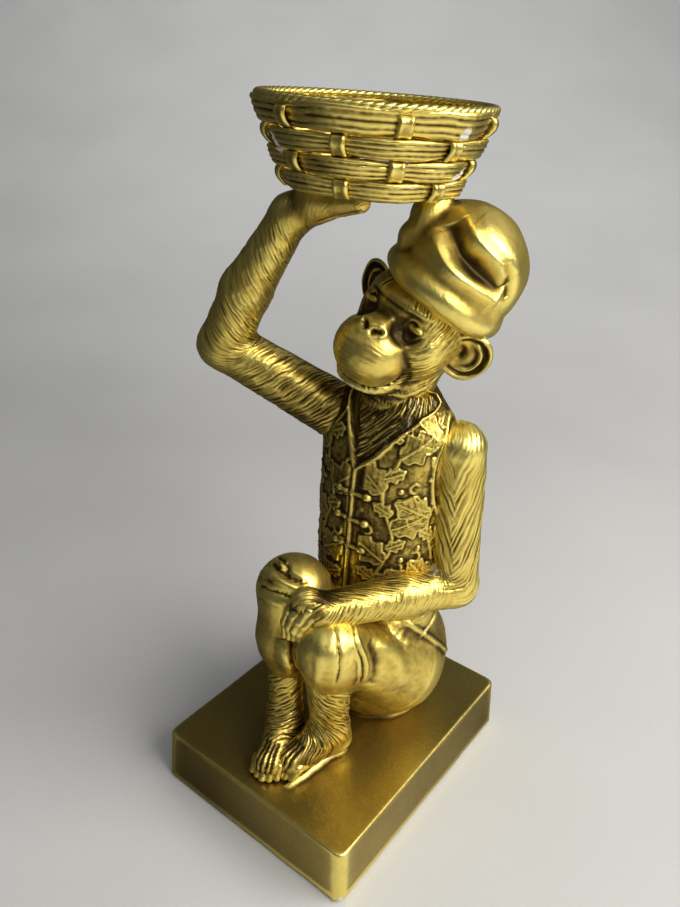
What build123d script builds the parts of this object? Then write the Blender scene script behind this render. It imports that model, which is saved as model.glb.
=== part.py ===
"""Seated monkey figurine that steadies a woven basket on its cap: resin castings, pegs, wire and felt.

The figure faces -Y and sits on an oblong plinth. The origin is on the felt's underside, near its middle,
+Z is up, +X is the figure's left. All lengths are in millimetres and all angles in degrees.
"""
import os
from math import atan2, degrees

from build123d import *

os.makedirs("parts", exist_ok=True)

# Felt and plinth
FELT_THICKNESS = 1.0
FELT_INSET = 2.5
PLINTH_X = -2.5
PLINTH_Y = 1.5
PLINTH_WIDTH = 95.0
PLINTH_DEPTH = 119.0
PLINTH_HEIGHT = 24.0
PLINTH_LEAN_IN = 1.2
PLINTH_CORNER = 3.5
PLINTH_EDGE = 1.2

# Seat of the trousers, measured from the plinth's top
SEAT_X = 2.0
SEAT_Y = 22.0
SEAT_FOOT_WIDTH = 46.0
SEAT_FOOT_DEPTH = 50.0
SEAT_WIDTH = 59.0
SEAT_DEPTH = 60.0
SEAT_BULGE_RISE = 25.0
SEAT_HEIGHT = 57.0

# Trouser legs: thighs from the hips to the knees, then down to the cuffs
HIP_SPREAD = 28.0
HIP_Y = 14.0
HIP_RISE = 27.0
HIP_RADIUS = 19.0
KNEE_RADIUS = 11.5
JOINT_SWELL = 0.5
CUFF_RADIUS = 11.2
CUFF_LENGTH = 19.0
RIGHT_KNEE_X = -14.5
RIGHT_KNEE_Y = -18.0
RIGHT_KNEE_RISE = 69.0
LEFT_KNEE_X = 10.5
LEFT_KNEE_Y = -25.0
LEFT_KNEE_RISE = 59.0

# Shins and feet
SHIN_RADIUS = 9.4
ANKLE_RADIUS = 7.6
ANKLE_RISE = 13.0
RIGHT_ANKLE_X = -9.5
RIGHT_ANKLE_Y = -27.0
LEFT_ANKLE_X = 9.0
LEFT_ANKLE_Y = -21.0
HEEL_RADIUS = 7.6
TOE_RADIUS = 4.6
FOOT_LENGTH = 23.0
FOOT_TURN = 11.0
SOLE_DEPTH = 1.6

# Torso in its waistcoat, measured from the waist
WAIST_X = 1.0
WAIST_Y = 18.5
WAIST_WIDTH = 51.0
WAIST_DEPTH = 41.0
CHEST_Y = 20.0
CHEST_WIDTH = 54.0
CHEST_DEPTH = 39.0
CHEST_RISE = 58.0
YOKE_WIDTH = 50.0
YOKE_DEPTH = 33.0
YOKE_RISE = 76.0
COLLAR_Y = 22.0
COLLAR_WIDTH = 34.0
COLLAR_DEPTH = 24.0
TORSO_HEIGHT = 87.0

# Waistcoat's relief on the torso, measured from the waist: hem, piping, toggles, vines and leaves
HEM_RISE = 4.0
HEM_WIDTH = 2.4
PIPING_WIDTH = 2.0
PIPING_PROUD = 1.0
NECK_OPENING_RISE = 66.0
NECK_OPENING_SPREAD = 13.0
TOGGLE_FIRST_RISE = 30.5
TOGGLE_SPACING = 11.7
TOGGLE_COUNT = 3
TOGGLE_LENGTH = 12.0
TOGGLE_WIDTH = 1.8
TOGGLE_BEAD_RADIUS = 1.6
TOGGLE_PROUD = 1.7
VINE_OUT = 12.5
VINE_WIDTH = 1.5
LEAF_FIRST_RISE = 10.0
LEAF_SPACING = 14.0
LEAF_COUNT = 4
LEAF_LENGTH = 12.5
LEAF_WIDTH = 8.0
LEAF_LEAN = 50.0
LEAF_PROUD = 0.9

# Left arm, which rests across the knees
LEFT_SHOULDER_OUT = 27.5
LEFT_SHOULDER_Y = 26.5
LEFT_SHOULDER_RISE = 71.5
LEFT_SHOULDER_RADIUS = 9.8
LEFT_ELBOW_OUT = 33.8
LEFT_ELBOW_Y = 23.0
LEFT_ELBOW_OVER_KNEE = 13.0
LEFT_ELBOW_RADIUS = 8.9
LEFT_WRIST_X = 6.0
LEFT_WRIST_Y = -24.0
LEFT_WRIST_OVER_KNEE = 13.0
LEFT_WRIST_RADIUS = 6.6
LEFT_HAND_X = -2.0
LEFT_HAND_Y = -31.5
LEFT_HAND_OVER_KNEE = 3.0
LEFT_HAND_LENGTH = 30.0
LEFT_HAND_RADIUS = 6.4

# Right arm, raised to the basket
RIGHT_SHOULDER_OUT = 22.5
RIGHT_SHOULDER_Y = 16.5
RIGHT_SHOULDER_RISE = 75.0
RIGHT_SHOULDER_RADIUS = 11.0
RIGHT_ELBOW_OUT = 60.6
RIGHT_ELBOW_Y = -6.5
RIGHT_ELBOW_RISE = 99.0
RIGHT_ELBOW_RADIUS = 9.4
FOREARM_BOW = 2.5
FOREARM_BELLY_SHARE = 0.45
FOREARM_RADIUS = 8.9
RIGHT_WRIST_X = -28.0
RIGHT_WRIST_Y = -4.0
RIGHT_WRIST_RADIUS = 6.6
PALM_DROP = 3.6
PALM_RADIUS = 6.4
PALM_X = -17.5
PALM_Y = -2.0
FINGERTIP_X = -2.5
FINGERTIP_Y = -0.5
FINGERTIP_DROP = 2.6
FINGERTIP_RADIUS = 3.6
WRIST_DROP = 9.5

# Head, placed over the collar, leaning to the figure's left and turned a little to its right
HEAD_X = 3.0
HEAD_Y = 31.0
HEAD_RISE = 27.0
HEAD_LEAN = 18.0
HEAD_TURN = 6.6
HEAD_RADIUS = 21.0
NECK_RADIUS = 14.0
MUZZLE_RADIUS = 13.0
MUZZLE_HALF_LENGTH = 14.0
MUZZLE_FORWARD = 20.0
MUZZLE_DROP = 9.0
JAW_RADIUS = 9.0
JAW_FORWARD = 16.0
JAW_DROP = 17.0
BROW_RADIUS = 6.5
BROW_HALF_WIDTH = 15.0
BROW_FORWARD = 13.0
BROW_RISE = 10.5
EAR_RADIUS = 9.2
EAR_THICKNESS = 5.0
EAR_OUT = 24.0
EAR_BACK = 1.5
EAR_FLARE = 38.0
EAR_CUP = 2.2

# Cap, measured from the head's middle along the head's own axes
CAP_RADIUS = 25.5
CAP_HALF_HEIGHT = 23.5
CAP_LEFT = 2.0
CAP_UP = 24.0
CAP_BACK = 7.0
CAP_TIP_BACK = 18.0
CAP_BAND_RADIUS = 4.6
CAP_BAND_RING = 19.5
CAP_BAND_DROP = 12.5
CAP_SEAT_DROP = 16.0
CAP_SINK = 1.2

# Basket
BASKET_X = -7.2
BASKET_Y = 11.1
BASKET_TILT = 1.9
BASKET_TILT_TOWARDS = 37.0
BASKET_BOTTOM_RADIUS = 28.0
BASKET_RIM_RADIUS = 38.0
BASKET_HEIGHT = 24.6
BASKET_WALL = 2.6
BASKET_FLOOR = 4.0
BASKET_ROWS = 4
ROW_BULGE = 1.1
BORDER_RADIUS = 2.3
STRAPS_PER_ROW = 6
STRAP_WIDTH = 5.5
STRAP_PROUD = 0.9

# Pegs and the arm's wire
PEG_CLEARANCE = 0.15
PEG_END_GAP = 0.3
SEAT_PEG_RADIUS = 3.0
SEAT_PEG_LENGTH = 24.0
SEAT_PEG_SPACING = 22.0
FOOT_PEG_RADIUS = 1.5
FOOT_PEG_LENGTH = 14.0
KNEE_PEG_RADIUS = 2.0
KNEE_PEG_LENGTH = 16.0
WAIST_PEG_RADIUS = 4.0
WAIST_PEG_LENGTH = 30.0
NECK_PEG_RADIUS = 3.0
NECK_PEG_LENGTH = 28.0
SHOULDER_PEG_RADIUS = 2.0
SHOULDER_PEG_LENGTH = 16.0
SHOULDER_PEG_DROP = 8.0
CAP_PEG_RADIUS = 2.5
CAP_PEG_LENGTH = 18.0
BASKET_PEG_RADIUS = 2.0
BASKET_PEG_LENGTH = 11.0
BASKET_PEG_DEPTH = 2.4
BASKET_PEG_REACH = 21.0
WIRE_RADIUS = 1.2
WIRE_BEND = 7.0
WIRE_ANCHOR = 16.0
WIRE_TIP_DEPTH = 2.0

# Handle length, as a share of the half axis, of a curve that follows a quarter of an ellipse
QUARTER_HANDLE = 0.5523

# Levels and joint places that follow from the sizes
PLINTH_TOP = FELT_THICKNESS + PLINTH_HEIGHT
WAIST_Z = PLINTH_TOP + SEAT_HEIGHT
COLLAR_Z = WAIST_Z + TORSO_HEIGHT

plinth_middle = Vector(PLINTH_X, PLINTH_Y, 0)
right_knee = Vector(RIGHT_KNEE_X, RIGHT_KNEE_Y, PLINTH_TOP + RIGHT_KNEE_RISE)
left_knee = Vector(LEFT_KNEE_X, LEFT_KNEE_Y, PLINTH_TOP + LEFT_KNEE_RISE)
left_shoulder = Vector(WAIST_X + LEFT_SHOULDER_OUT, LEFT_SHOULDER_Y, WAIST_Z + LEFT_SHOULDER_RISE)
left_elbow = Vector(WAIST_X + LEFT_ELBOW_OUT, LEFT_ELBOW_Y, left_knee.Z + LEFT_ELBOW_OVER_KNEE)
left_wrist = Vector(LEFT_WRIST_X, LEFT_WRIST_Y, left_knee.Z + LEFT_WRIST_OVER_KNEE)
left_hand = Vector(LEFT_HAND_X, LEFT_HAND_Y, left_knee.Z + LEFT_HAND_OVER_KNEE)
right_shoulder = Vector(WAIST_X - RIGHT_SHOULDER_OUT, RIGHT_SHOULDER_Y, WAIST_Z + RIGHT_SHOULDER_RISE)
right_elbow = Vector(WAIST_X - RIGHT_ELBOW_OUT, RIGHT_ELBOW_Y, WAIST_Z + RIGHT_ELBOW_RISE)
right_ankle = Vector(RIGHT_ANKLE_X, RIGHT_ANKLE_Y, PLINTH_TOP + ANKLE_RISE)
left_ankle = Vector(LEFT_ANKLE_X, LEFT_ANKLE_Y, PLINTH_TOP + ANKLE_RISE)
right_hip = Vector(SEAT_X - HIP_SPREAD / 2, HIP_Y, PLINTH_TOP + HIP_RISE)
left_hip = Vector(SEAT_X + HIP_SPREAD / 2, HIP_Y, PLINTH_TOP + HIP_RISE)

head_middle = Vector(HEAD_X, HEAD_Y, COLLAR_Z + HEAD_RISE)
head_plane = Plane(Location(head_middle, (0, HEAD_LEAN, -HEAD_TURN)))
cap_middle = head_plane.from_local_coords(Vector(CAP_LEFT, CAP_BACK, CAP_UP))
cap_location = Location(cap_middle, (0, HEAD_LEAN, -HEAD_TURN))
cap_plane = Plane(cap_location * Location((0, 0, 0), (-CAP_TIP_BACK, 0, 0)))
cap_seat = cap_plane.offset(-CAP_SEAT_DROP)

BASKET_Z = cap_middle.Z + CAP_RADIUS - CAP_SINK
basket_location = Location((BASKET_X, BASKET_Y, BASKET_Z), (0, 0, BASKET_TILT_TOWARDS))
basket_plane = Plane(basket_location * Location((0, 0, 0), (0, BASKET_TILT, 0)))

right_wrist = Vector(RIGHT_WRIST_X, RIGHT_WRIST_Y, BASKET_Z - WRIST_DROP)
palm_middle = Vector(PALM_X, PALM_Y, BASKET_Z - PALM_DROP)
fingertip = Vector(FINGERTIP_X, FINGERTIP_Y, BASKET_Z - FINGERTIP_DROP)
basket_peg_run = Vector(cap_middle.X - BASKET_X, cap_middle.Y - BASKET_Y, 0)
basket_peg_middle = basket_plane.origin + basket_peg_run.normalized() * BASKET_PEG_REACH


def limb(*stations):
    """Add a straight limb: a loft through circles, each given as a middle point and a radius."""
    run = stations[-1][0] - stations[0][0]
    sections = []
    for middle, radius in stations:
        with BuildSketch(Plane(origin=middle, z_dir=run)) as section:
            Circle(radius)
        sections.append(section.sketch.face())
    loft(sections)


def ball(middle, radius):
    """Add a ball."""
    with Locations(middle):
        Sphere(radius)


def half_ellipse(radius, half_length):
    """Draw the right half of an ellipse, one curve for each quarter, closed along the Y axis."""
    side = radius * QUARTER_HANDLE
    end = half_length * QUARTER_HANDLE
    Bezier((0, -half_length), (side, -half_length), (radius, -end), (radius, 0))
    Bezier((radius, 0), (radius, end), (side, half_length), (0, half_length))
    Line((0, half_length), (0, -half_length))


def spheroid(plane, radius, half_length, mode=Mode.ADD):
    """Add a half ellipse turned about the plane's Z axis: radius across, half_length along the axis."""
    with BuildSketch(Plane(origin=plane.origin, x_dir=plane.x_dir, z_dir=-plane.y_dir)) as outline:
        with BuildLine():
            half_ellipse(radius, half_length)
        make_face()
    revolve(outline.sketch.face(), axis=Axis(plane.origin, plane.z_dir), mode=mode)


def peg(middle, direction, radius, length):
    """Add a straight round peg, centred on its middle point."""
    with Locations(Plane(origin=middle, z_dir=direction).location):
        Cylinder(radius, length)


def socket(middle, direction, radius, length):
    """Cut the hole that a peg of this radius and length sits in, with its clearances."""
    with Locations(Plane(origin=middle, z_dir=direction).location):
        Cylinder(radius + PEG_CLEARANCE, length + 2 * PEG_END_GAP, mode=Mode.SUBTRACT)


def finish(builder, label):
    """Name the finished piece and write it."""
    builder.part.label = label
    export_step(builder.part, f"parts/{label}.step")


def point_between(start, end, share):
    """Return the point that lies this share of the way from start to end."""
    return start + (end - start) * share


# Peg places: each pair or single peg crosses the face where two castings meet
seat_peg_places = [
    Vector(SEAT_X - SEAT_PEG_SPACING / 2, SEAT_Y, PLINTH_TOP),
    Vector(SEAT_X + SEAT_PEG_SPACING / 2, SEAT_Y, PLINTH_TOP),
]
foot_peg_places = [
    Vector(RIGHT_ANKLE_X, RIGHT_ANKLE_Y, PLINTH_TOP),
    Vector(LEFT_ANKLE_X, LEFT_ANKLE_Y, PLINTH_TOP),
]
leg_runs = [
    (right_knee, right_ankle),
    (left_knee, left_ankle),
]
knee_peg_places = [knee + (ankle - knee).normalized() * KNEE_RADIUS / 2 for knee, ankle in leg_runs]
waist_peg_place = Vector(WAIST_X, WAIST_Y, WAIST_Z)
neck_peg_place = Vector(WAIST_X, COLLAR_Y, COLLAR_Z)
shoulder_peg_place = Vector(
    WAIST_X + CHEST_WIDTH / 2,
    CHEST_Y,
    WAIST_Z + LEFT_SHOULDER_RISE - SHOULDER_PEG_DROP,
)
shoulder_peg_run = Vector(left_shoulder.X, left_shoulder.Y, 0) - Vector(WAIST_X, CHEST_Y, 0)
cap_peg_place = cap_seat.origin
basket_peg_place = basket_peg_middle + Vector(0, 0, BASKET_PEG_DEPTH - BASKET_PEG_LENGTH / 2)

# Felt
with BuildPart() as felt_pad:
    with BuildSketch(Plane(origin=plinth_middle)):
        RectangleRounded(
            PLINTH_WIDTH - 2 * (PLINTH_LEAN_IN + FELT_INSET),
            PLINTH_DEPTH - 2 * (PLINTH_LEAN_IN + FELT_INSET),
            PLINTH_CORNER,
        )
    extrude(amount=FELT_THICKNESS)
finish(felt_pad, "felt_pad")

# Plinth: the sides lean in a little towards the bottom
with BuildPart() as plinth:
    with BuildSketch(Plane(origin=plinth_middle).offset(FELT_THICKNESS)):
        RectangleRounded(
            PLINTH_WIDTH - 2 * PLINTH_LEAN_IN,
            PLINTH_DEPTH - 2 * PLINTH_LEAN_IN,
            PLINTH_CORNER,
        )
    with BuildSketch(Plane(origin=plinth_middle).offset(PLINTH_TOP)):
        RectangleRounded(PLINTH_WIDTH, PLINTH_DEPTH, PLINTH_CORNER)
    loft(ruled=True)
    fillet(faces().sort_by(Axis.Z)[-1].edges(), PLINTH_EDGE)
    fillet(faces().sort_by(Axis.Z)[0].edges(), PLINTH_EDGE)
    for place in seat_peg_places:
        socket(place, (0, 0, 1), SEAT_PEG_RADIUS, SEAT_PEG_LENGTH)
    for place in foot_peg_places:
        socket(place, (0, 0, 1), FOOT_PEG_RADIUS, FOOT_PEG_LENGTH)
finish(plinth, "plinth")

# Wire: along the upper arm from the torso, round the elbow and wrist, and up into the basket's floor
upper_arm_run = (right_elbow - right_shoulder).normalized()
wire_points = [
    right_shoulder - upper_arm_run * WIRE_ANCHOR,
    right_elbow,
    right_wrist,
    palm_middle,
    Vector(PALM_X, PALM_Y, BASKET_Z + WIRE_TIP_DEPTH),
]


def wire(radius):
    """Add a round wire of this radius along the arm's wire path."""
    with BuildLine() as path:
        FilletPolyline(*wire_points, radius=WIRE_BEND)
    with BuildSketch(Plane(origin=wire_points[0], z_dir=upper_arm_run)) as section:
        Circle(radius)
    sweep(section.sketch.face(), path=path.wire())


with BuildPart() as arm_wire:
    wire(WIRE_RADIUS)
finish(arm_wire, "arm_wire")

with BuildPart() as wire_channel:
    wire(WIRE_RADIUS + PEG_CLEARANCE)

# Basket: rows that bulge, a round border, and straps that bind every other place of each row
row_height = BASKET_HEIGHT / BASKET_ROWS
row_growth = (BASKET_RIM_RADIUS - BASKET_BOTTOM_RADIUS) / BASKET_ROWS
basket_section = Plane(origin=basket_plane.origin, x_dir=basket_plane.x_dir, z_dir=-basket_plane.y_dir)
basket_axis = Axis(basket_plane.origin, basket_plane.z_dir)
strap_depth = ROW_BULGE + STRAP_PROUD
strap_places = []
for row in range(BASKET_ROWS):
    strap_reach = BASKET_BOTTOM_RADIUS + (row + 0.5) * row_growth + strap_depth / 2
    strap_rise = (row + 0.5) * row_height
    for strap in range(STRAPS_PER_ROW):
        bearing = (strap + 0.5 * (row % 2)) * 360 / STRAPS_PER_ROW
        around = Plane(basket_plane.location * Location((0, 0, 0), (0, 0, bearing)))
        strap_middle = around.from_local_coords(Vector(strap_reach, 0, strap_rise))
        wall_run = around.x_dir * row_growth + around.z_dir * row_height
        strap_places.append(Plane(origin=strap_middle, x_dir=around.y_dir, z_dir=wall_run).location)
with BuildPart() as basket:
    with BuildSketch(basket_section):
        with BuildLine():
            Line((0, 0), (BASKET_BOTTOM_RADIUS, 0))
            for row in range(BASKET_ROWS):
                low = Vector(BASKET_BOTTOM_RADIUS + row * row_growth, row * row_height)
                high = low + Vector(row_growth, row_height)
                ThreePointArc(low, point_between(low, high, 0.5) + Vector(ROW_BULGE, 0), high)
            Polyline(
                (BASKET_RIM_RADIUS, BASKET_HEIGHT),
                (BASKET_RIM_RADIUS - BASKET_WALL, BASKET_HEIGHT),
                (BASKET_BOTTOM_RADIUS - BASKET_WALL, BASKET_FLOOR),
                (0, BASKET_FLOOR),
                (0, 0),
            )
        make_face()
    revolve(axis=basket_axis)
    with BuildSketch(basket_section):
        with Locations((BASKET_RIM_RADIUS - BASKET_WALL / 2, BASKET_HEIGHT)):
            Circle(BORDER_RADIUS)
    revolve(axis=basket_axis)
    with Locations(*strap_places):
        Box(STRAP_WIDTH, strap_depth, row_height)
    socket(basket_peg_place, (0, 0, 1), BASKET_PEG_RADIUS, BASKET_PEG_LENGTH)
    add(wire_channel.part, mode=Mode.SUBTRACT)
finish(basket, "basket")


def torso(proud):
    """Add the torso, standing proud of its own size by this much: a loft through ellipses."""
    sections = []
    for rise, middle_y, width, depth in (
        (0, WAIST_Y, WAIST_WIDTH, WAIST_DEPTH),
        (CHEST_RISE, CHEST_Y, CHEST_WIDTH, CHEST_DEPTH),
        (YOKE_RISE, CHEST_Y, YOKE_WIDTH, YOKE_DEPTH),
        (TORSO_HEIGHT, COLLAR_Y, COLLAR_WIDTH, COLLAR_DEPTH),
    ):
        with BuildSketch(Plane.XY.offset(WAIST_Z + rise)) as section:
            with Locations((WAIST_X, middle_y)):
                Ellipse(width / 2 + proud, depth / 2 + proud)
        sections.append(section.sketch.face())
    loft(sections)


def relief(faces, proud, both_sides=False):
    """Add what stands proud of the torso under faces drawn on the torso's middle plane, seen along Y."""
    with BuildPart(mode=Mode.PRIVATE) as grown:
        torso(proud)
    for face in faces:
        with BuildPart(mode=Mode.PRIVATE) as raised:
            extrude(face, amount=CHEST_DEPTH, both=both_sides)
            add(grown.part, mode=Mode.INTERSECT)
        add(raised.part)


def leaf(base_x, base_rise, lean):
    """Draw a pointed leaf from its base, leaning this many degrees from upright."""
    base = Vector(base_x, WAIST_Z + base_rise)
    along = Vector(0, LEAF_LENGTH).rotate(Axis.Z, -lean)
    across = Vector(LEAF_WIDTH / 2, 0).rotate(Axis.Z, -lean)
    with BuildLine() as outline:
        ThreePointArc(base, base + along / 2 + across, base + along)
        ThreePointArc(base + along, base + along / 2 - across, base)
    make_face(outline.edges())


front_plane = Plane.XZ.offset(-CHEST_Y)
neck_bottom = Vector(WAIST_X, WAIST_Z + NECK_OPENING_RISE)
with BuildSketch(front_plane) as hem:
    with Locations((WAIST_X, WAIST_Z + HEM_RISE)):
        Rectangle(2 * CHEST_WIDTH, HEM_WIDTH)
with BuildSketch(front_plane) as piping:
    with Locations((WAIST_X, WAIST_Z + (HEM_RISE + NECK_OPENING_RISE) / 2)):
        Rectangle(PIPING_WIDTH, NECK_OPENING_RISE - HEM_RISE)
    for side in (-1, 1):
        neck_run = Vector(side * NECK_OPENING_SPREAD, TORSO_HEIGHT - NECK_OPENING_RISE)
        neck_lean = degrees(atan2(neck_run.X, neck_run.Y))
        with Locations(Location(neck_bottom + neck_run / 2, (0, 0, -neck_lean))):
            Rectangle(PIPING_WIDTH, neck_run.length + PIPING_WIDTH)
with BuildSketch(front_plane) as toggles:
    for toggle in range(TOGGLE_COUNT):
        with Locations((WAIST_X, WAIST_Z + TOGGLE_FIRST_RISE + toggle * TOGGLE_SPACING)):
            Rectangle(TOGGLE_LENGTH, TOGGLE_WIDTH)
            with Locations((-TOGGLE_LENGTH / 2, 0), (TOGGLE_LENGTH / 2, 0)):
                Circle(TOGGLE_BEAD_RADIUS)
with BuildSketch(front_plane) as leaves:
    for side in (-1, 1):
        vine_x = WAIST_X + side * VINE_OUT
        vine_height = LEAF_SPACING * LEAF_COUNT
        with Locations((vine_x, WAIST_Z + LEAF_FIRST_RISE + vine_height / 2)):
            Rectangle(VINE_WIDTH, vine_height)
        for number in range(LEAF_COUNT):
            lean = side * LEAF_LEAN * (-1) ** number
            leaf(vine_x, LEAF_FIRST_RISE + number * LEAF_SPACING, lean)

# Torso in its waistcoat
with BuildPart() as waistcoat:
    torso(0)
    relief(hem.sketch.faces(), PIPING_PROUD, both_sides=True)
    relief(leaves.sketch.faces(), LEAF_PROUD, both_sides=True)
    relief(piping.sketch.faces(), PIPING_PROUD)
    relief(toggles.sketch.faces(), TOGGLE_PROUD)
    socket(waist_peg_place, (0, 0, 1), WAIST_PEG_RADIUS, WAIST_PEG_LENGTH)
    socket(neck_peg_place, (0, 0, 1), NECK_PEG_RADIUS, NECK_PEG_LENGTH)
    socket(shoulder_peg_place, shoulder_peg_run, SHOULDER_PEG_RADIUS, SHOULDER_PEG_LENGTH)
    add(wire_channel.part, mode=Mode.SUBTRACT)
finish(waistcoat, "waistcoat")

# Trousers: seat, thighs, knees and cuffs, hollowed where the waistcoat's hem sits on them
with BuildPart() as trousers:
    for rise, middle_x, middle_y, width, depth in (
        (0, SEAT_X, SEAT_Y, SEAT_FOOT_WIDTH, SEAT_FOOT_DEPTH),
        (SEAT_BULGE_RISE, SEAT_X, SEAT_Y, SEAT_WIDTH, SEAT_DEPTH),
        (SEAT_HEIGHT, WAIST_X, WAIST_Y, WAIST_WIDTH, WAIST_DEPTH),
    ):
        with BuildSketch(Plane.XY.offset(PLINTH_TOP + rise)):
            with Locations((middle_x, middle_y)):
                Ellipse(width / 2, depth / 2)
    loft()
    for hip, knee, ankle in ((right_hip, right_knee, right_ankle), (left_hip, left_knee, left_ankle)):
        limb((hip, HIP_RADIUS), (knee, KNEE_RADIUS))
        ball(knee, KNEE_RADIUS + JOINT_SWELL)
        cuff = knee + (ankle - knee).normalized() * CUFF_LENGTH
        limb((knee, KNEE_RADIUS), (cuff, CUFF_RADIUS))
    add(waistcoat.part, mode=Mode.SUBTRACT)
    for place in seat_peg_places:
        socket(place, (0, 0, 1), SEAT_PEG_RADIUS, SEAT_PEG_LENGTH)
    socket(waist_peg_place, (0, 0, 1), WAIST_PEG_RADIUS, WAIST_PEG_LENGTH)
    for place, (knee, ankle) in zip(knee_peg_places, leg_runs):
        socket(place, ankle - knee, KNEE_PEG_RADIUS, KNEE_PEG_LENGTH)
finish(trousers, "trousers")


def shin(knee, ankle, inward):
    """Add a shin and its foot; inward is 1 or -1, the way along X that the toes turn."""
    heading = Vector(0, -1, 0).rotate(Axis.Z, inward * FOOT_TURN)
    toe_rise = TOE_RADIUS - SOLE_DEPTH - ANKLE_RISE
    heel_rise = HEEL_RADIUS - SOLE_DEPTH - ANKLE_RISE
    heel = ankle + Vector(0, 0, heel_rise)
    toe = ankle + heading * FOOT_LENGTH + Vector(0, 0, toe_rise)
    limb((knee, SHIN_RADIUS), (ankle, ANKLE_RADIUS))
    ball(ankle, ANKLE_RADIUS + JOINT_SWELL)
    ball(heel, HEEL_RADIUS + JOINT_SWELL)
    limb((heel, HEEL_RADIUS), (toe, TOE_RADIUS))
    ball(toe, TOE_RADIUS + JOINT_SWELL)
    split(bisect_by=Plane.XY.offset(PLINTH_TOP), keep=Keep.TOP)


# Shins and feet: the left foot gives way to the right one where the toes close up
with BuildPart() as right_shin:
    shin(right_knee, right_ankle, 1)
    add(trousers.part, mode=Mode.SUBTRACT)
    socket(foot_peg_places[0], (0, 0, 1), FOOT_PEG_RADIUS, FOOT_PEG_LENGTH)
    socket(knee_peg_places[0], right_ankle - right_knee, KNEE_PEG_RADIUS, KNEE_PEG_LENGTH)
finish(right_shin, "right_shin")

with BuildPart() as left_shin:
    shin(left_knee, left_ankle, -1)
    add(trousers.part, mode=Mode.SUBTRACT)
    add(right_shin.part, mode=Mode.SUBTRACT)
    socket(foot_peg_places[1], (0, 0, 1), FOOT_PEG_RADIUS, FOOT_PEG_LENGTH)
    socket(knee_peg_places[1], left_ankle - left_knee, KNEE_PEG_RADIUS, KNEE_PEG_LENGTH)
finish(left_shin, "left_shin")

# Left arm across the knees, with the hand hanging between them
hand_run = left_hand - left_wrist
hand_plane = Plane(origin=left_hand, z_dir=hand_run)
with BuildPart() as resting_arm:
    ball(left_shoulder, LEFT_SHOULDER_RADIUS + JOINT_SWELL)
    limb((left_shoulder, LEFT_SHOULDER_RADIUS), (left_elbow, LEFT_ELBOW_RADIUS))
    ball(left_elbow, LEFT_ELBOW_RADIUS + JOINT_SWELL)
    limb((left_elbow, LEFT_ELBOW_RADIUS), (left_wrist, LEFT_WRIST_RADIUS))
    ball(left_wrist, LEFT_WRIST_RADIUS + JOINT_SWELL)
    spheroid(hand_plane, LEFT_HAND_RADIUS, LEFT_HAND_LENGTH / 2)
    add(waistcoat.part, mode=Mode.SUBTRACT)
    add(trousers.part, mode=Mode.SUBTRACT)
    socket(shoulder_peg_place, shoulder_peg_run, SHOULDER_PEG_RADIUS, SHOULDER_PEG_LENGTH)
finish(resting_arm, "resting_arm")

# Right arm, bent up so that the palm lies flat under the basket
forearm_middle = point_between(right_elbow, right_wrist, FOREARM_BELLY_SHARE) - Vector(FOREARM_BOW, 0, 0)
with BuildPart() as raised_arm:
    ball(right_shoulder, RIGHT_SHOULDER_RADIUS + JOINT_SWELL)
    limb((right_shoulder, RIGHT_SHOULDER_RADIUS), (right_elbow, RIGHT_ELBOW_RADIUS))
    ball(right_elbow, RIGHT_ELBOW_RADIUS + JOINT_SWELL)
    limb(
        (right_elbow, RIGHT_ELBOW_RADIUS),
        (forearm_middle, FOREARM_RADIUS),
        (right_wrist, RIGHT_WRIST_RADIUS),
    )
    ball(right_wrist, RIGHT_WRIST_RADIUS + JOINT_SWELL)
    limb((right_wrist, RIGHT_WRIST_RADIUS), (palm_middle, PALM_RADIUS))
    ball(palm_middle, PALM_RADIUS + JOINT_SWELL)
    limb((palm_middle, PALM_RADIUS), (fingertip, FINGERTIP_RADIUS))
    ball(fingertip, FINGERTIP_RADIUS + JOINT_SWELL)
    add(wire_channel.part, mode=Mode.SUBTRACT)
    split(bisect_by=basket_plane, keep=Keep.BOTTOM)
    add(waistcoat.part, mode=Mode.SUBTRACT)
finish(raised_arm, "raised_arm")


def on_head(across, forward, rise, facing=(0, -1, 0)):
    """Return a plane at a place given along the head's own axes, with its Z axis along facing."""
    origin = head_plane.from_local_coords(Vector(across, -forward, rise))
    direction = head_plane.from_local_coords(Vector(*facing)) - head_plane.origin
    return Plane(origin=origin, z_dir=direction)


# Head: skull, brow, muzzle, jaw, neck and two cupped ears, cut flat at the collar and under the cap
with BuildPart() as head:
    ball(head_middle, HEAD_RADIUS)
    limb((neck_peg_place, NECK_RADIUS), (head_middle, NECK_RADIUS))
    spheroid(on_head(0, MUZZLE_FORWARD, -MUZZLE_DROP), MUZZLE_RADIUS, MUZZLE_HALF_LENGTH)
    spheroid(on_head(0, JAW_FORWARD, -JAW_DROP), JAW_RADIUS, JAW_RADIUS)
    spheroid(on_head(0, BROW_FORWARD, BROW_RISE, (1, 0, 0)), BROW_RADIUS, BROW_HALF_WIDTH)
    for side in (-1, 1):
        ear_facing = Vector(side, 0, 0).rotate(Axis.Z, -side * EAR_FLARE)
        ear = on_head(side * EAR_OUT, -EAR_BACK, 0, ear_facing)
        spheroid(ear, EAR_RADIUS, EAR_THICKNESS / 2)
        spheroid(ear.offset(EAR_CUP), EAR_RADIUS - EAR_CUP, EAR_THICKNESS / 2, Mode.SUBTRACT)
    split(bisect_by=Plane.XY.offset(COLLAR_Z), keep=Keep.TOP)
    split(bisect_by=cap_seat, keep=Keep.BOTTOM)
    socket(neck_peg_place, (0, 0, 1), NECK_PEG_RADIUS, NECK_PEG_LENGTH)
    socket(cap_peg_place, cap_plane.z_dir, CAP_PEG_RADIUS, CAP_PEG_LENGTH)
finish(head, "head")

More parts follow.
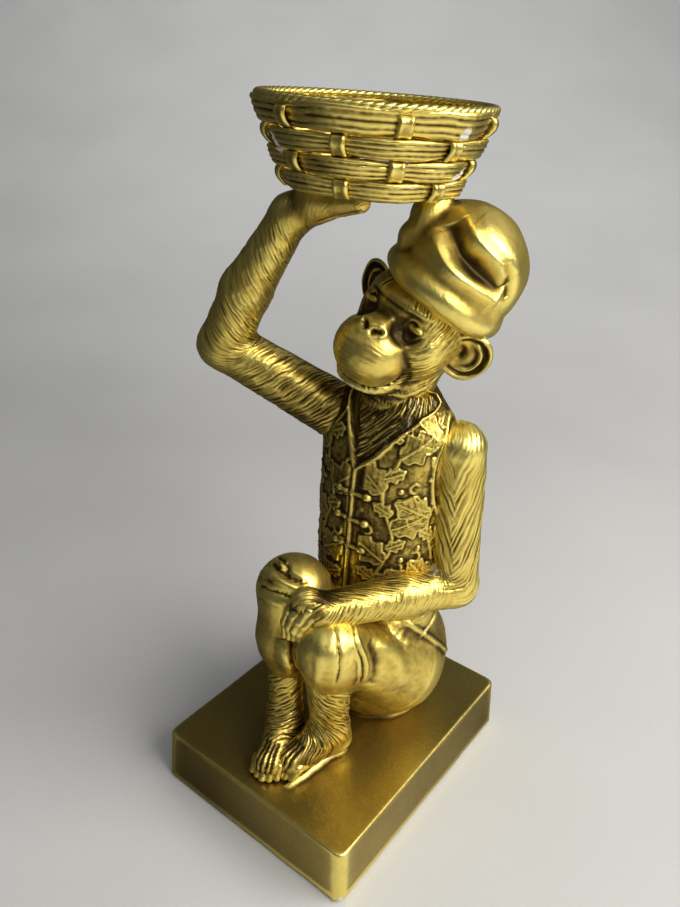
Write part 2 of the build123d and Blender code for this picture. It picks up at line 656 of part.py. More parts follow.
# Cap: a baggy crown with a rolled band, cut flat where it sits on the head and under the basket
with BuildPart() as cap:
    with BuildSketch(Plane(origin=cap_middle, x_dir=cap_plane.x_dir, z_dir=-cap_plane.y_dir)):
        with BuildLine():
            half_ellipse(CAP_RADIUS, CAP_HALF_HEIGHT)
        make_face()
        with Locations((CAP_BAND_RING, -CAP_BAND_DROP)):
            Circle(CAP_BAND_RADIUS)
        with Locations((0, -CAP_SEAT_DROP)):
            Rectangle(4 * CAP_RADIUS, CAP_HALF_HEIGHT, align=(Align.CENTER, Align.MAX), mode=Mode.SUBTRACT)
    revolve(axis=Axis(cap_middle, cap_plane.z_dir))
    split(bisect_by=basket_plane, keep=Keep.BOTTOM)
    socket(cap_peg_place, cap_plane.z_dir, CAP_PEG_RADIUS, CAP_PEG_LENGTH)
    socket(basket_peg_place, (0, 0, 1), BASKET_PEG_RADIUS, BASKET_PEG_LENGTH)
finish(cap, "cap")

# Pegs, the paired ones as groups
with BuildPart() as seat_pegs:
    for place in seat_peg_places:
        peg(place, (0, 0, 1), SEAT_PEG_RADIUS, SEAT_PEG_LENGTH)
finish(seat_pegs, "seat_pegs")

with BuildPart() as foot_pegs:
    for place in foot_peg_places:
        peg(place, (0, 0, 1), FOOT_PEG_RADIUS, FOOT_PEG_LENGTH)
finish(foot_pegs, "foot_pegs")

with BuildPart() as knee_pegs:
    for place, (knee, ankle) in zip(knee_peg_places, leg_runs):
        peg(place, ankle - knee, KNEE_PEG_RADIUS, KNEE_PEG_LENGTH)
finish(knee_pegs, "knee_pegs")

with BuildPart() as waist_peg:
    peg(waist_peg_place, (0, 0, 1), WAIST_PEG_RADIUS, WAIST_PEG_LENGTH)
finish(waist_peg, "waist_peg")

with BuildPart() as neck_peg:
    peg(neck_peg_place, (0, 0, 1), NECK_PEG_RADIUS, NECK_PEG_LENGTH)
finish(neck_peg, "neck_peg")

with BuildPart() as shoulder_peg:
    peg(shoulder_peg_place, shoulder_peg_run, SHOULDER_PEG_RADIUS, SHOULDER_PEG_LENGTH)
finish(shoulder_peg, "shoulder_peg")

with BuildPart() as cap_peg:
    peg(cap_peg_place, cap_plane.z_dir, CAP_PEG_RADIUS, CAP_PEG_LENGTH)
finish(cap_peg, "cap_peg")

with BuildPart() as basket_peg:
    peg(basket_peg_place, (0, 0, 1), BASKET_PEG_RADIUS, BASKET_PEG_LENGTH)
finish(basket_peg, "basket_peg")
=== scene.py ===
"""Looks of a gold-painted cast ornament: a seated monkey that steadies a woven bowl on its cap.

Lengths are in millimetres up to the moment a mesh is written, which is in metres.
X runs to the figure's left, Y to its back and Z up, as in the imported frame.
"""
import logging
import math
from dataclasses import dataclass
from enum import Enum
from typing import Optional, Sequence, Union

import bpy
import numpy as np
from mathutils import Matrix, Vector


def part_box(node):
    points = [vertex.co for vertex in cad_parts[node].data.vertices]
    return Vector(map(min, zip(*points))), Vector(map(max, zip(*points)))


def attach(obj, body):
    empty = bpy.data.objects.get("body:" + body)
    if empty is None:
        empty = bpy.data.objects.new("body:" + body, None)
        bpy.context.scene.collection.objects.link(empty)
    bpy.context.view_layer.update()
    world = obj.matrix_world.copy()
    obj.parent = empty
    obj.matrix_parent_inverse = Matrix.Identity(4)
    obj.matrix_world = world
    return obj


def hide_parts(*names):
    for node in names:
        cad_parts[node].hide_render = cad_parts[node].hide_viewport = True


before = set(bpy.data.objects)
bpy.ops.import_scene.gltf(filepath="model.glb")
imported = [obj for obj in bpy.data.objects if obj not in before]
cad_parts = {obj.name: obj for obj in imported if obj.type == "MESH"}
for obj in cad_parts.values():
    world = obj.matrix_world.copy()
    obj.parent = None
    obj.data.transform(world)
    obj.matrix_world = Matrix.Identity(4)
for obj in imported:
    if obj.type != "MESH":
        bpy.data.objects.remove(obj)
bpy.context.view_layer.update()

Array = np.ndarray
Point = tuple[float, float, float]
Pair = tuple[float, float]
Colour = tuple[float, float, float]

LOG = logging.getLogger("figurine")
MM = 0.001
TURN = 2 * math.pi
UP = np.array([0, 0, 1.0])
SIDES = (-1, 1)
WASH_AT_REST = 0.42
WASH_BY_REACH = ((0.7, 1.3), (2.0, 1.6), (5.0, 1.2))


class Slot(Enum):
    """The record's finishes that the pieces take."""

    RESIN = "resin_gold"
    PLINTH = "plinth_gold"
    BASKET = "basket_gold"


class Look(Enum):
    """How a surface is looked at: straight by the camera, or in a shiny surface."""

    STRAIGHT = "Is Camera Ray"
    MIRRORED = "Is Glossy Ray"


# Numbers and curves


def unit(vectors: Array) -> Array:
    """Scale vectors to length one."""
    return vectors / np.maximum(np.linalg.norm(vectors, axis=-1, keepdims=True), 1e-9)


def ease(low: float, high: float, values: Array) -> Array:
    """Rise smoothly from 0 at low to 1 at high, as 3t squared less 2t cubed."""
    t = np.clip((values - low) / (high - low), 0, 1)
    return t * t * (3 - 2 * t)


def bell(values: Array) -> Array:
    """Fall from 1 at zero, as e to the power of minus the square."""
    return np.exp(-(values**2))


def signed_power(values: Array, exponent: float) -> Array:
    """Raise the sizes of values to a power and keep their signs."""
    return np.sign(values) * np.abs(values) ** exponent


def gap_squared(points: Array, place: Sequence[float]) -> Array:
    """Square of the distance from a place."""
    return ((points - np.asarray(place, float)) ** 2).sum(-1)


def angles(count: int) -> Array:
    """Even angles over a full turn, the last one short of it."""
    return np.linspace(0, TURN, count, endpoint=False)


def turned(x: float, y: float, z: float) -> Array:
    """Multiply the turns about X, Y and Z.

    Args:
        x, y, z: Angles in degrees.

    Returns:
        A 3 by 3 matrix whose columns are the turned axes.
    """
    a, b, c = np.radians([x, y, z])
    about_x = np.array([[1, 0, 0], [0, np.cos(a), -np.sin(a)], [0, np.sin(a), np.cos(a)]])
    about_y = np.array([[np.cos(b), 0, np.sin(b)], [0, 1, 0], [-np.sin(b), 0, np.cos(b)]])
    about_z = np.array([[np.cos(c), -np.sin(c), 0], [np.sin(c), np.cos(c), 0], [0, 0, 1]])
    return about_x @ about_y @ about_z


def hashed(cells: Array, seed: int) -> Array:
    """Mix whole lattice cells, three numbers to a cell, into steady values from -1 to 1."""
    whole = cells.astype(np.int64).view(np.uint64)
    mixed = whole[..., 0] * np.uint64(73856093)
    mixed = mixed ^ (whole[..., 1] * np.uint64(19349663))
    mixed = mixed ^ (whole[..., 2] * np.uint64(83492791))
    mixed = (mixed ^ np.uint64(seed * 40503)) & np.uint64(0xFFFFFFFF)
    for shift, factor in ((15, 2246822519), (13, 3266489917)):
        mixed = ((mixed ^ (mixed >> np.uint64(shift))) * np.uint64(factor)) & np.uint64(0xFFFFFFFF)
    return (mixed ^ (mixed >> np.uint64(16))) / 2.0**31 - 1


def noise(points: Array, scale: float, seed: int) -> Array:
    """Smooth noise: lattice values blended by a fifth-power ease between the eight corners of a cell.

    Args:
        points: Places.
        scale: Size of a cell.
        seed: Picks another noise.

    Returns:
        Values from -1 to 1, one for each place.
    """
    at = points / scale
    base = np.floor(at)
    f = at - base
    f = f * f * f * (f * (f * 6 - 15) + 10)
    total = np.zeros(points.shape[:-1])
    for corner in np.ndindex(2, 2, 2):
        share = np.prod(np.where(np.array(corner) == 1, f, 1 - f), axis=-1)
        total += share * hashed(base + corner, seed)
    return total


def patches(points: Array, scale: float, seed: int, low: float, high: float) -> Array:
    """Soft-edged patches: noise eased from 0 at low to 1 at high."""
    return ease(low, high, noise(points, scale, seed))


def even_steps(curve: Array, count: int) -> Array:
    """Resample a polyline at even steps of its length."""
    arc = np.concatenate([[0], np.cumsum(np.linalg.norm(np.diff(curve, axis=0), axis=1))])
    at = np.linspace(0, arc[-1], count)
    return np.stack([np.interp(at, arc, column) for column in curve.T], axis=-1)


def through(points: Sequence[Sequence[float]], count: int) -> Array:
    """Curve through points of any dimension by Catmull-Rom pieces, at even steps of its length."""
    p = np.asarray(points, float)
    p = np.vstack([2 * p[0] - p[1], p, 2 * p[-1] - p[-2]])
    curve = denser(p, 24 * len(p), 0, False)[24:-24] if len(p) > 4 else denser(p[1:-1], 96, 0, False)
    return even_steps(curve, count)


def rounded(points: Sequence[Sequence[float]], count: int) -> Array:
    """Cubic B-spline that starts and ends on the outer points and rounds the corners between.

    Args:
        points: Control points.
        count: Number of points to return.

    Returns:
        An array of count points, evenly spaced.
    """
    p = np.asarray(points, float)
    p = np.vstack([p[0], p[0], p, p[-1], p[-1]])
    at = np.linspace(0, len(p) - 3 - 1e-6, 40 * len(p))
    k = at.astype(int)
    f = (at - k)[:, None]
    curve = (1 - f) ** 3 * p[k] + (3 * f**3 - 6 * f**2 + 4) * p[k + 1]
    curve = curve + (1 + 3 * f + 3 * f**2 - 3 * f**3) * p[k + 2] + f**3 * p[k + 3]
    return even_steps(curve / 6, count)


def denser(grid: Array, count: int, axis: int, loop: bool) -> Array:
    """Resample a grid along one axis by Catmull-Rom pieces.

    Args:
        grid: Values on a grid.
        count: New number of steps along the axis.
        axis: The axis to resample.
        loop: Whether the axis closes on itself.

    Returns:
        The finer grid.
    """
    size = grid.shape[axis]
    at = np.linspace(0, size if loop else size - 1, count, endpoint=not loop)
    first = np.floor(at).astype(int)
    if not loop:
        first = np.minimum(first, size - 2)
    f = (at - first).reshape([-1 if i == axis else 1 for i in range(grid.ndim)])
    mode = "wrap" if loop else "clip"
    a, b, c, d = (np.take(grid, first + k, axis=axis, mode=mode) for k in (-1, 0, 1, 2))
    return b + 0.5 * f * (c - a + f * (2 * a - 5 * b + 4 * c - d + f * (3 * (b - c) + d - a)))


def blurred(values: Array, half: int, axis: int, loop: bool) -> Array:
    """Mean over a window along one axis.

    Args:
        values: Values on a grid.
        half: Half the window, in steps.
        axis: The axis to run along.
        loop: Whether the axis closes on itself.

    Returns:
        The blurred grid.
    """
    widths = [(0, 0)] * values.ndim
    widths[axis] = (half + 1, half)
    total = np.cumsum(np.pad(values, widths, mode="wrap" if loop else "edge"), axis=axis)
    size = values.shape[axis]
    upper = np.take(total, np.arange(2 * half + 1, 2 * half + 1 + size), axis=axis)
    lower = np.take(total, np.arange(size), axis=axis)
    return (upper - lower) / (2 * half + 1)


# Round forms that flow into each other


@dataclass(frozen=True)
class Cone:
    """A straight limb with round ends, whose radius changes evenly from start to end."""

    start: Point
    end: Point
    start_radius: float
    end_radius: float

    def distance(self, points: Array) -> Array:
        """Distance from the limb's skin: from the nearest point of its axis, less the radius there."""
        start = np.asarray(self.start, float)
        run = np.asarray(self.end, float) - start
        share = np.clip((points - start) @ run / (run @ run), 0, 1)
        radius = self.start_radius + share * (self.end_radius - self.start_radius)
        return np.linalg.norm(points - start - share[..., None] * run, axis=-1) - radius


@dataclass(frozen=True)
class Egg:
    """An ellipsoid, turned by axes, whose columns are its own directions."""

    middle: Point
    radii: Point
    axes: Optional[Array] = None

    def distance(self, points: Array) -> Array:
        """Near distance: the scaled length k, by k(k - 1) over the length of its gradient."""
        local = points - np.asarray(self.middle, float)
        if self.axes is not None:
            local = local @ self.axes
        radii = np.asarray(self.radii, float)
        length = np.linalg.norm(local / radii, axis=-1)
        slope = np.linalg.norm(local / radii**2, axis=-1)
        return length * (length - 1) / np.maximum(slope, 1e-9)


@dataclass(frozen=True)
class Ring:
    """A round ring about an axis."""

    middle: Point
    axis: Point
    radius: float
    thickness: float

    def distance(self, points: Array) -> Array:
        """Distance from the ring's middle circle, less its thickness."""
        local = points - np.asarray(self.middle, float)
        rise = local @ np.asarray(self.axis, float)
        out = np.sqrt(np.maximum((local**2).sum(-1) - rise**2, 0))
        return np.hypot(out - self.radius, rise) - self.thickness


Solid = Union[Cone, Egg, Ring]


@dataclass(frozen=True)
class Form:
    """Solids that flow into each other over a softness, less hollows."""

    solids: Sequence[Solid]
    softness: float
    hollows: Sequence[Solid] = ()
    hollow_softness: float = 2.0

    def distance(self, points: Array) -> Array:
        """Soft least distance to the solids, then the soft greatest of that and minus each hollow's."""
        total = self.solids[0].distance(points)
        for solid in self.solids[1:]:
            total = soft_least(total, solid.distance(points), self.softness)
        for hollow in self.hollows:
            total = -soft_least(-total, hollow.distance(points), self.hollow_softness)
        return total


def soft_least(a: Array, b: Array, softness: float) -> Array:
    """Least of two distances, rounded where they differ by less than the softness."""
    h = np.clip(0.5 + 0.5 * (b - a) / softness, 0, 1)
    return b * (1 - h) + a * h - softness * h * (1 - h)


def chain(path: Sequence[Point], radii: Sequence[float]) -> list[Cone]:
    """Cones from point to point of a path, with a radius at each point."""
    return [Cone(*ends) for ends in zip(path[:-1], path[1:], radii[:-1], radii[1:])]


@dataclass(frozen=True)
class Rays:
    """Rays on a grid: where each one starts, and its direction."""

    origins: Array
    directions: Array

    def at(self, lengths: Array) -> Array:
        """Points at these lengths along the rays."""
        return self.origins + self.directions * lengths[..., None]

    def meet(self, form: Form, reach: float, steps: int = 44) -> Array:
        """Find where each ray first leaves the form, by even steps and then by halving.

        Args:
            form: The form that the rays start in.
            reach: Greatest length of a ray.
            steps: Even steps along the reach.

        Returns:
            The length of each ray.
        """
        low = np.zeros(self.origins.shape[:-1])
        high = np.full_like(low, reach)
        inside = np.ones_like(low, bool)
        for length in np.linspace(0, reach, steps)[1:]:
            out = form.distance(self.origins + self.directions * length) > 0
            high = np.where(inside & out, length, high)
            low = np.where(inside & ~out, length, low)
            inside &= ~out
        for _ in range(12):
            middle = (low + high) / 2
            out = form.distance(self.at(middle)) > 0
            high = np.where(out, middle, high)
            low = np.where(out, low, middle)
        return (low + high) / 2


def limb_rays(path: Sequence[Point], facing: Point, rows: int, columns: int, end_rows: int = 7) -> Rays:
    """Rays square to a rounded path, which fan out over half a ball at each end.

    Args:
        path: Control points of the path.
        facing: Direction of the first column, never along the path.
        rows: Rows along the path.
        columns: Columns around it.
        end_rows: Rows of each half ball.

    Returns:
        The rays, with rows along the path.
    """
    middle = rounded(path, rows)
    tangent = unit(np.gradient(middle, axis=0))
    side = unit(np.cross(tangent, np.asarray(facing, float)))
    front = np.cross(side, tangent)
    angle = angles(columns)[None, :, None]
    ring = front[:, None] * np.cos(angle) + side[:, None] * np.sin(angle)
    tilt = np.radians(np.linspace(86, 0, end_rows, endpoint=False))[:, None, None]
    first = ring[:1] * np.cos(tilt) - tangent[0] * np.sin(tilt)
    last = ring[-1:] * np.cos(tilt[::-1]) + tangent[-1] * np.sin(tilt[::-1])
    ends = [np.repeat(middle[row:row + 1 or None], end_rows, 0) for row in (0, -1)]
    starts = np.concatenate([ends[0], middle, ends[1]])
    directions = np.concatenate([first, ring, last])
    return Rays(np.broadcast_to(starts[:, None], directions.shape), directions)


def globe_rays(middle: Point, axes: Array, rows: int, columns: int, crowd: float = 0.0) -> Rays:
    """Rays from one point in all directions, with the poles on the third axis.

    Args:
        middle: Where the rays start.
        axes: Columns are left, back and up; the first column of the grid looks to the back.
        rows: Rows from the lower pole to the upper one.
        columns: Columns around.
        crowd: From 0 to 1, how much the columns crowd towards the front.

    Returns:
        The rays.
    """
    polar = np.radians(np.linspace(-88.5, 88.5, rows))[:, None]
    even = angles(columns)[None, :]
    bearing = even + crowd * np.sin(even)
    flat = np.stack([-np.sin(bearing), np.cos(bearing), np.zeros_like(bearing)], -1)
    local = flat * np.cos(polar)[..., None] + UP * np.sin(polar)[..., None]
    directions = local @ axes.T
    return Rays(np.broadcast_to(np.asarray(middle, float), directions.shape), directions)


# Skins and meshes


@dataclass
class Skin:
    """A closed surface on a grid: columns close into rings, and the outer rows in poles or on each other.

    Attributes:
        points: Rows by columns by three.
        loop_rows: Whether the last row joins the first.
        chalk: Where bare pale resin shows, from 0 to 1.
        wash_and_shade: Darkness that is added to the wash depth, from 0 to 1: extra wash, and painted shade
            where a piece darkens its shaded parts.
    """

    points: Array
    loop_rows: bool = False
    chalk: Union[Array, float] = 0.0
    wash_and_shade: Union[Array, float] = 0.0

    def finer(self, rows: int, columns: int) -> "Skin":
        """Resample the skin to more rows and columns."""
        return Skin(denser(denser(self.points, rows, 0, self.loop_rows), columns, 1, True), self.loop_rows)

    def normals(self) -> Array:
        """Unit normals, from the cross product of the steps along rows and columns, turned outwards."""
        across = np.roll(self.points, -1, 1) - np.roll(self.points, 1, 1)
        if self.loop_rows:
            along = np.roll(self.points, -1, 0) - np.roll(self.points, 1, 0)
        else:
            along = np.gradient(self.points, axis=0)
        return unit(np.cross(across, along)) * self.sense()

    def sense(self) -> float:
        """Plus or minus one: the sign that turns the grid's own normals outwards, from its volume."""
        a = self.points
        b = np.roll(a, -1, 1)
        c = np.roll(a, -1, 0)
        solid = np.einsum("ijk,ijk->ij", a - a.mean((0, 1)), np.cross(b - a, c - a))
        return 1.0 if (solid if self.loop_rows else solid[:-1]).sum() > 0 else -1.0

    def raised(self, height: Array) -> "Skin":
        """Move every point along its normal by a height."""
        return Skin(self.points + self.normals() * height[..., None], self.loop_rows, self.chalk, self.wash_and_shade)

    def carved(self, strokes: Sequence["Stroke"]) -> "Skin":
        """Raise the skin by the sum of its strokes."""
        return self.raised(sum(stroke.lift(self) for stroke in strokes))

    def hollow(self, reach: float) -> Array:
        """How far the mean of the points within a reach stands out of the skin, as a share of the reach."""
        mean = self.points
        for axis, loop in ((0, self.loop_rows), (1, True)):
            steps = np.linalg.norm(np.diff(self.points, axis=axis), axis=-1).mean()
            half = int(np.clip(round(reach / steps), 1, self.points.shape[axis] // 4))
            mean = blurred(mean, half, axis, loop)
        return ((mean - self.points) * self.normals()).sum(-1) / reach

    def marks(self) -> Array:
        """Depth of wash, from 0 on ridges to 1 in hollows, with the added wash and painted shade, and share
        of bare resin, as two layers.
        """
        wash = sum((weight * self.hollow(reach) for reach, weight in WASH_BY_REACH), WASH_AT_REST)
        return np.clip(np.stack([wash + self.wash_and_shade, np.zeros_like(wash) + self.chalk], -1), 0, 1)


@dataclass(frozen=True)
class Stroke:
    """A ridge, or a groove where its height is negative, along a curve laid on a skin.

    Attributes:
        points: Places near the skin, which the curve's points are drawn to.
        width: Half width at which the height has fallen to a third.
        height: Height at the middle of the curve.
        ends: Share of the height that is left at the ends.
    """

    points: Sequence[Point]
    width: float
    height: float
    ends: float = 0.0

    def lift(self, skin: Skin) -> Array:
        """Height on every point of a skin: a bell curve of the distance to the curve, fading to its ends."""
        flat = skin.points.reshape(-1, 3)
        curve = flat[[int(np.argmin(gap_squared(flat, place))) for place in through(self.points, 20)]]
        curve[1:-1] = (curve[:-2] + 2 * curve[1:-1] + curve[2:]) / 4
        room = 3 * self.width
        near = np.all((flat > curve.min(0) - room) & (flat < curve.max(0) + room), axis=-1)
        close = flat[near]
        best = np.full(len(close), 1e9)
        share = np.zeros(len(close))
        for k, (a, b) in enumerate(zip(curve[:-1], curve[1:])):
            run = b - a
            t = np.clip((close - a) @ run / max(run @ run, 1e-9), 0, 1)
            gap = ((close - a - t[:, None] * run) ** 2).sum(-1)
            closer = gap < best
            best = np.where(closer, gap, best)
            share = np.where(closer, (k + t) / (len(curve) - 1), share)
        fade = self.ends + (1 - self.ends) * np.sqrt(np.clip(4 * share * (1 - share), 0, 1))
        height = np.zeros(len(flat))
        height[near] = self.height * fade * np.exp(-best / self.width**2)
        return height.reshape(skin.points.shape[:-1])


def limb_lengths(points: Array, part: float) -> tuple[Array, Array]:
    """Measure a limb's skin along and round.

    Args:
        points: The limb's grid, with rows along it.
        part: Angle of the column where the fur parts.

    Returns:
        Length along the limb, and length round it from the parting, with a sign for each side.
    """
    middle = points.mean(1)
    steps = np.linalg.norm(np.diff(middle, axis=0), axis=1)
    fall = np.concatenate([[0], np.cumsum(steps)])[:, None]
    angle = angles(points.shape[1])[None, :] - part
    angle = (angle + math.pi) % TURN - math.pi
    radius = np.linalg.norm(points - middle[:, None], axis=-1).mean(1)
    return fall + 0 * angle, angle * np.median(radius) + 0 * fall


@dataclass(frozen=True)
class Coat:
    """Carved fur: locks side by side, which swell and fade along their length, with finer hairs on them.

    Attributes:
        pitch: Width of a lock.
        length: Length of a lock.
        depth: Height of a lock over the groove beside it.
        wave: Waviness of the columns, in pitches.
        seed: Picks other locks.
    """

    pitch: float
    length: float
    depth: float
    wave: float
    seed: int

    def locks(self, fall: Array, side: Array, slant: float, points: Array, seed: int) -> Array:
        """Fur that lies one way: half-sine lanes of locks that come and go, broken up by stretched noise.

        Args:
            fall: Length along the limb.
            side: Length round the limb.
            slant: Angle from the limb's own direction to the hair, in degrees.
            points: Places on the skin, for the waves.
            seed: Picks other locks.

        Returns:
            Heights about zero, as shares of the depth.
        """
        turn = math.radians(slant)
        along = (fall * math.cos(turn) + side * math.sin(turn)) / self.length
        across = (side * math.cos(turn) - fall * math.sin(turn)) / self.pitch
        lane = across + self.wave * (noise(points, 8.0, seed) + 0.55 * noise(points, 2.8, seed + 1))
        column = np.floor(lane)
        level = np.zeros_like(lane)
        strength = noise(np.stack([column * 7.3, along, level], -1), 1.0, seed + 2)
        ridge = np.sin(math.pi * (lane - column)) * np.clip(0.5 + 0.95 * strength, 0.04, 1)
        streaks = 1 - 2 * np.abs(noise(np.stack([lane * 1.6, along * 1.2, level], -1), 1.0, seed + 3))
        return 0.6 * ridge + 0.4 * streaks - 0.45

    def height(self, fall: Array, side: Array, slants: Pair, points: Array) -> Array:
        """Height of fur that parts on a line and lies another way to each side of it.

        Args:
            fall: Length along the limb.
            side: Length round the limb from the parting, with a sign for each side.
            slants: Angles of the hair away from the parting on the minus and the plus side, in degrees.
            points: Places on the skin, for the waves.

        Returns:
            Heights about zero, which die out on the line opposite the parting.
        """
        minus = self.locks(fall, -side, slants[0], points, self.seed)
        plus = self.locks(fall, side, slants[1], points, self.seed + 40)
        share = ease(-1.4, 1.4, side + 1.2 * noise(points, 4.0, self.seed + 7))
        far = np.abs(side).max()
        fade = 1 - ease(far - 3.5, far, np.abs(side))
        lumps = 0.35 * noise(points, 5.0, self.seed + 5)
        return self.depth * ((minus * (1 - share) + plus * share) * fade + lumps)


class Casting:
    """Skins gathered into one piece, written as one mesh with its marks of wash, painted shade and bare
    resin.
    """

    def __init__(self, name: str, *skins: Skin) -> None:
        """Start a piece with a name and its first skins."""
        self.name = name
        self.skins = list(skins)

    def mesh(self) -> bpy.types.Mesh:
        """Write the mesh: quads between the rows and columns, and fans over the poles.

        Returns:
            The mesh, with the marks hollow, which holds the wash and the painted shade, and chalk on its
            points.
        """
        values, quads, fans = [], [], []
        total = 0
        for skin in self.skins:
            rows, columns = skin.points.shape[:2]
            index = total + np.arange(rows * columns).reshape(rows, columns)
            lower = index if skin.loop_rows else index[:-1]
            upper = np.roll(index, -1, 0) if skin.loop_rows else index[1:]
            corners = [lower, np.roll(lower, -1, 1), np.roll(upper, -1, 1), upper]
            outward = skin.sense() > 0
            quads.append(np.stack(corners if outward else corners[::-1], -1).reshape(-1, 4))
            marked = np.concatenate([skin.points * MM, skin.marks()], -1)
            values.append(marked.reshape(-1, marked.shape[-1]))
            total += rows * columns
            for row, flip in () if skin.loop_rows else ((0, outward), (-1, not outward)):
                rim = [index[row], np.roll(index[row], -1)]
                fans.append(np.stack([np.full(columns, total), *(rim[::-1] if flip else rim)], -1))
                values.append(marked[row].mean(0, keepdims=True))
                total += 1
        table = np.concatenate(values).astype(np.float32)
        corner_list = np.concatenate([np.concatenate(quads).ravel(), np.concatenate(fans).ravel()])
        counts = np.repeat([4, 3], [sum(map(len, quads)), sum(map(len, fans))])
        mesh = bpy.data.meshes.new(self.name)
        mesh.vertices.add(total)
        mesh.vertices.foreach_set("co", table[:, :3].ravel())
        mesh.loops.add(len(corner_list))
        mesh.loops.foreach_set("vertex_index", corner_list.astype(np.int32))
        mesh.polygons.add(len(counts))
        mesh.polygons.foreach_set("loop_start", (np.cumsum(counts) - counts).astype(np.int32))
        for label, column in (("hollow", 3), ("chalk", 4)):
            mark = mesh.attributes.new(label, "FLOAT", "POINT")
            mark.data.foreach_set("value", np.ascontiguousarray(table[:, column]))
        mesh.update(calc_edges=True)
        mesh.shade_smooth()
        LOG.info("%s: %d vertices, %d faces", self.name, total, len(counts))
        return mesh

    def dress(self, finish: bpy.types.Material, slot: Slot, node: str) -> None:
        """Put the piece in the scene in its finish.

        Args:
            finish: Material of the piece.
            slot: The record's slot for it; not used.
            node: CAD node that the piece stands for.
        """
        mesh = self.mesh()
        mesh.materials.append(finish)
        piece = bpy.data.objects.new(self.name, mesh)
        bpy.context.scene.collection.objects.link(piece)
        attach(piece, "root")
        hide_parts(node)


# Finishes


class Value:
    """A shader value: Python sums on it add Math nodes."""

    def __init__(self, recipe: "Recipe", socket: bpy.types.NodeSocket) -> None:
        """Wrap a socket of a recipe."""
        self.recipe = recipe
        self.socket = socket

    def math(self, operation: str, first: "Number", second: "Number", clamp: bool = False) -> "Value":
        """Add one Math node on two values."""
        settings = {"operation": operation, "use_clamp": clamp}
        node = self.recipe.node("ShaderNodeMath", settings, {0: first, 1: second})
        return Value(self.recipe, node.outputs[0])

    def __add__(self, other: "Number") -> "Value":
        """Sum."""
        return self.math("ADD", self, other)

    def __sub__(self, other: "Number") -> "Value":
        """Difference."""
        return self.math("SUBTRACT", self, other)

    def __rsub__(self, other: "Number") -> "Value":
        """Difference from a number."""
        return self.math("SUBTRACT", other, self)

    def __mul__(self, other: "Number") -> "Value":
        """Product."""
        return self.math("MULTIPLY", self, other)

    __radd__ = __add__
    __rmul__ = __mul__

    def clamped(self) -> "Value":
        """The value held between 0 and 1."""
        return self.math("ADD", self, 0.0, clamp=True)


Number = Union[Value, float]


class Recipe:
    """The node tree of a material or of the room, built a node at a time."""

    def __init__(self, owner: Union[bpy.types.Material, bpy.types.World]) -> None:
        """Start a material or a room with only its output node."""
        owner.use_nodes = True
        self.owner = owner
        self.tree = owner.node_tree
        self.tree.nodes.clear()
        room = isinstance(owner, bpy.types.World)
        self.output = self.tree.nodes.new("ShaderNodeOutputWorld" if room else "ShaderNodeOutputMaterial")

    def node(
        self, kind: str, settings: Optional[dict] = None, sockets: Optional[dict] = None
    ) -> bpy.types.Node:
        """Add a node.

        Args:
            kind: The node's type.
            settings: Its own settings; stops are a ramp's places and colours.
            sockets: Values or links of its inputs, by name or number.

        Returns:
            The node.
        """
        node = self.tree.nodes.new(kind)
        for key, setting in (settings or {}).items():
            if key == "stops":
                elements = node.color_ramp.elements
                while len(elements) < len(setting):
                    elements.new(1.0)
                for element, (place, colour) in zip(elements, setting):
                    element.position = place
                    element.color = (*colour, 1.0)
            else:
                setattr(node, key, setting)
        for key, given in (sockets or {}).items():
            given = given.socket if isinstance(given, Value) else given
            if isinstance(given, bpy.types.NodeSocket):
                self.tree.links.new(given, node.inputs[key])
            else:
                node.inputs[key].default_value = given
        return node

    def mark(self, name: str) -> Value:
        """The value of one of the piece's own marks."""
        return Value(self, self.node("ShaderNodeAttribute", {"attribute_name": name}).outputs["Fac"])

    def place(self) -> bpy.types.NodeSocket:
        """Object coordinates, in metres."""
        return self.node("ShaderNodeTexCoord").outputs["Object"]

    def grain(self, size: float, detail: float = 2.0, roughness: float = 0.5) -> Value:
        """Noise whose features are about a size in millimetres."""
        sockets = {"Vector": self.place(), "Scale": 1 / (size * MM)}
        sockets |= {"Detail": detail, "Roughness": roughness}
        return Value(self, self.node("ShaderNodeTexNoise", None, sockets).outputs["Fac"])

    def ramp(self, value: Value, stops: Sequence[tuple[float, Colour]]) -> bpy.types.NodeSocket:
        """Colours along a value."""
        return self.node("ShaderNodeValToRGB", {"stops": stops}, {"Fac": value}).outputs["Color"]

    def mixed(self, share: Value, first: object, second: object) -> bpy.types.NodeSocket:
        """Mix two colours."""
        colours = [(*c, 1.0) if isinstance(c, tuple) else c for c in (first, second)]
        sockets = {0: share, 6: colours[0], 7: colours[1]}
        return self.node("ShaderNodeMix", {"data_type": "RGBA"}, sockets).outputs[2]

    def looked_at(self, look: Look) -> Value:
        """1 where this is looked at in one way, and 0 elsewhere."""
        return Value(self, self.node("ShaderNodeLightPath").outputs[look.value])

    def bump(self, height: Value, strength: float, distance: float) -> bpy.types.NodeSocket:
        """A normal bent by a height, with the distance in millimetres."""
        sockets = {"Height": height, "Strength": strength, "Distance": distance * MM}
        return self.node("ShaderNodeBump", None, sockets).outputs["Normal"]

    def close(self, kind: str, output: str, sockets: dict) -> Union[bpy.types.Material, bpy.types.World]:
        """Close the recipe with a shader and give back its owner."""
        shader = self.node(kind, None, sockets)
        self.tree.links.new(shader.outputs[output], self.output.inputs["Surface"])
        return self.owner

    def surface(self, sockets: dict) -> bpy.types.Material:
        """Close the recipe with a Principled surface and give back the material."""
        return self.close("ShaderNodeBsdfPrincipled", "BSDF", sockets)


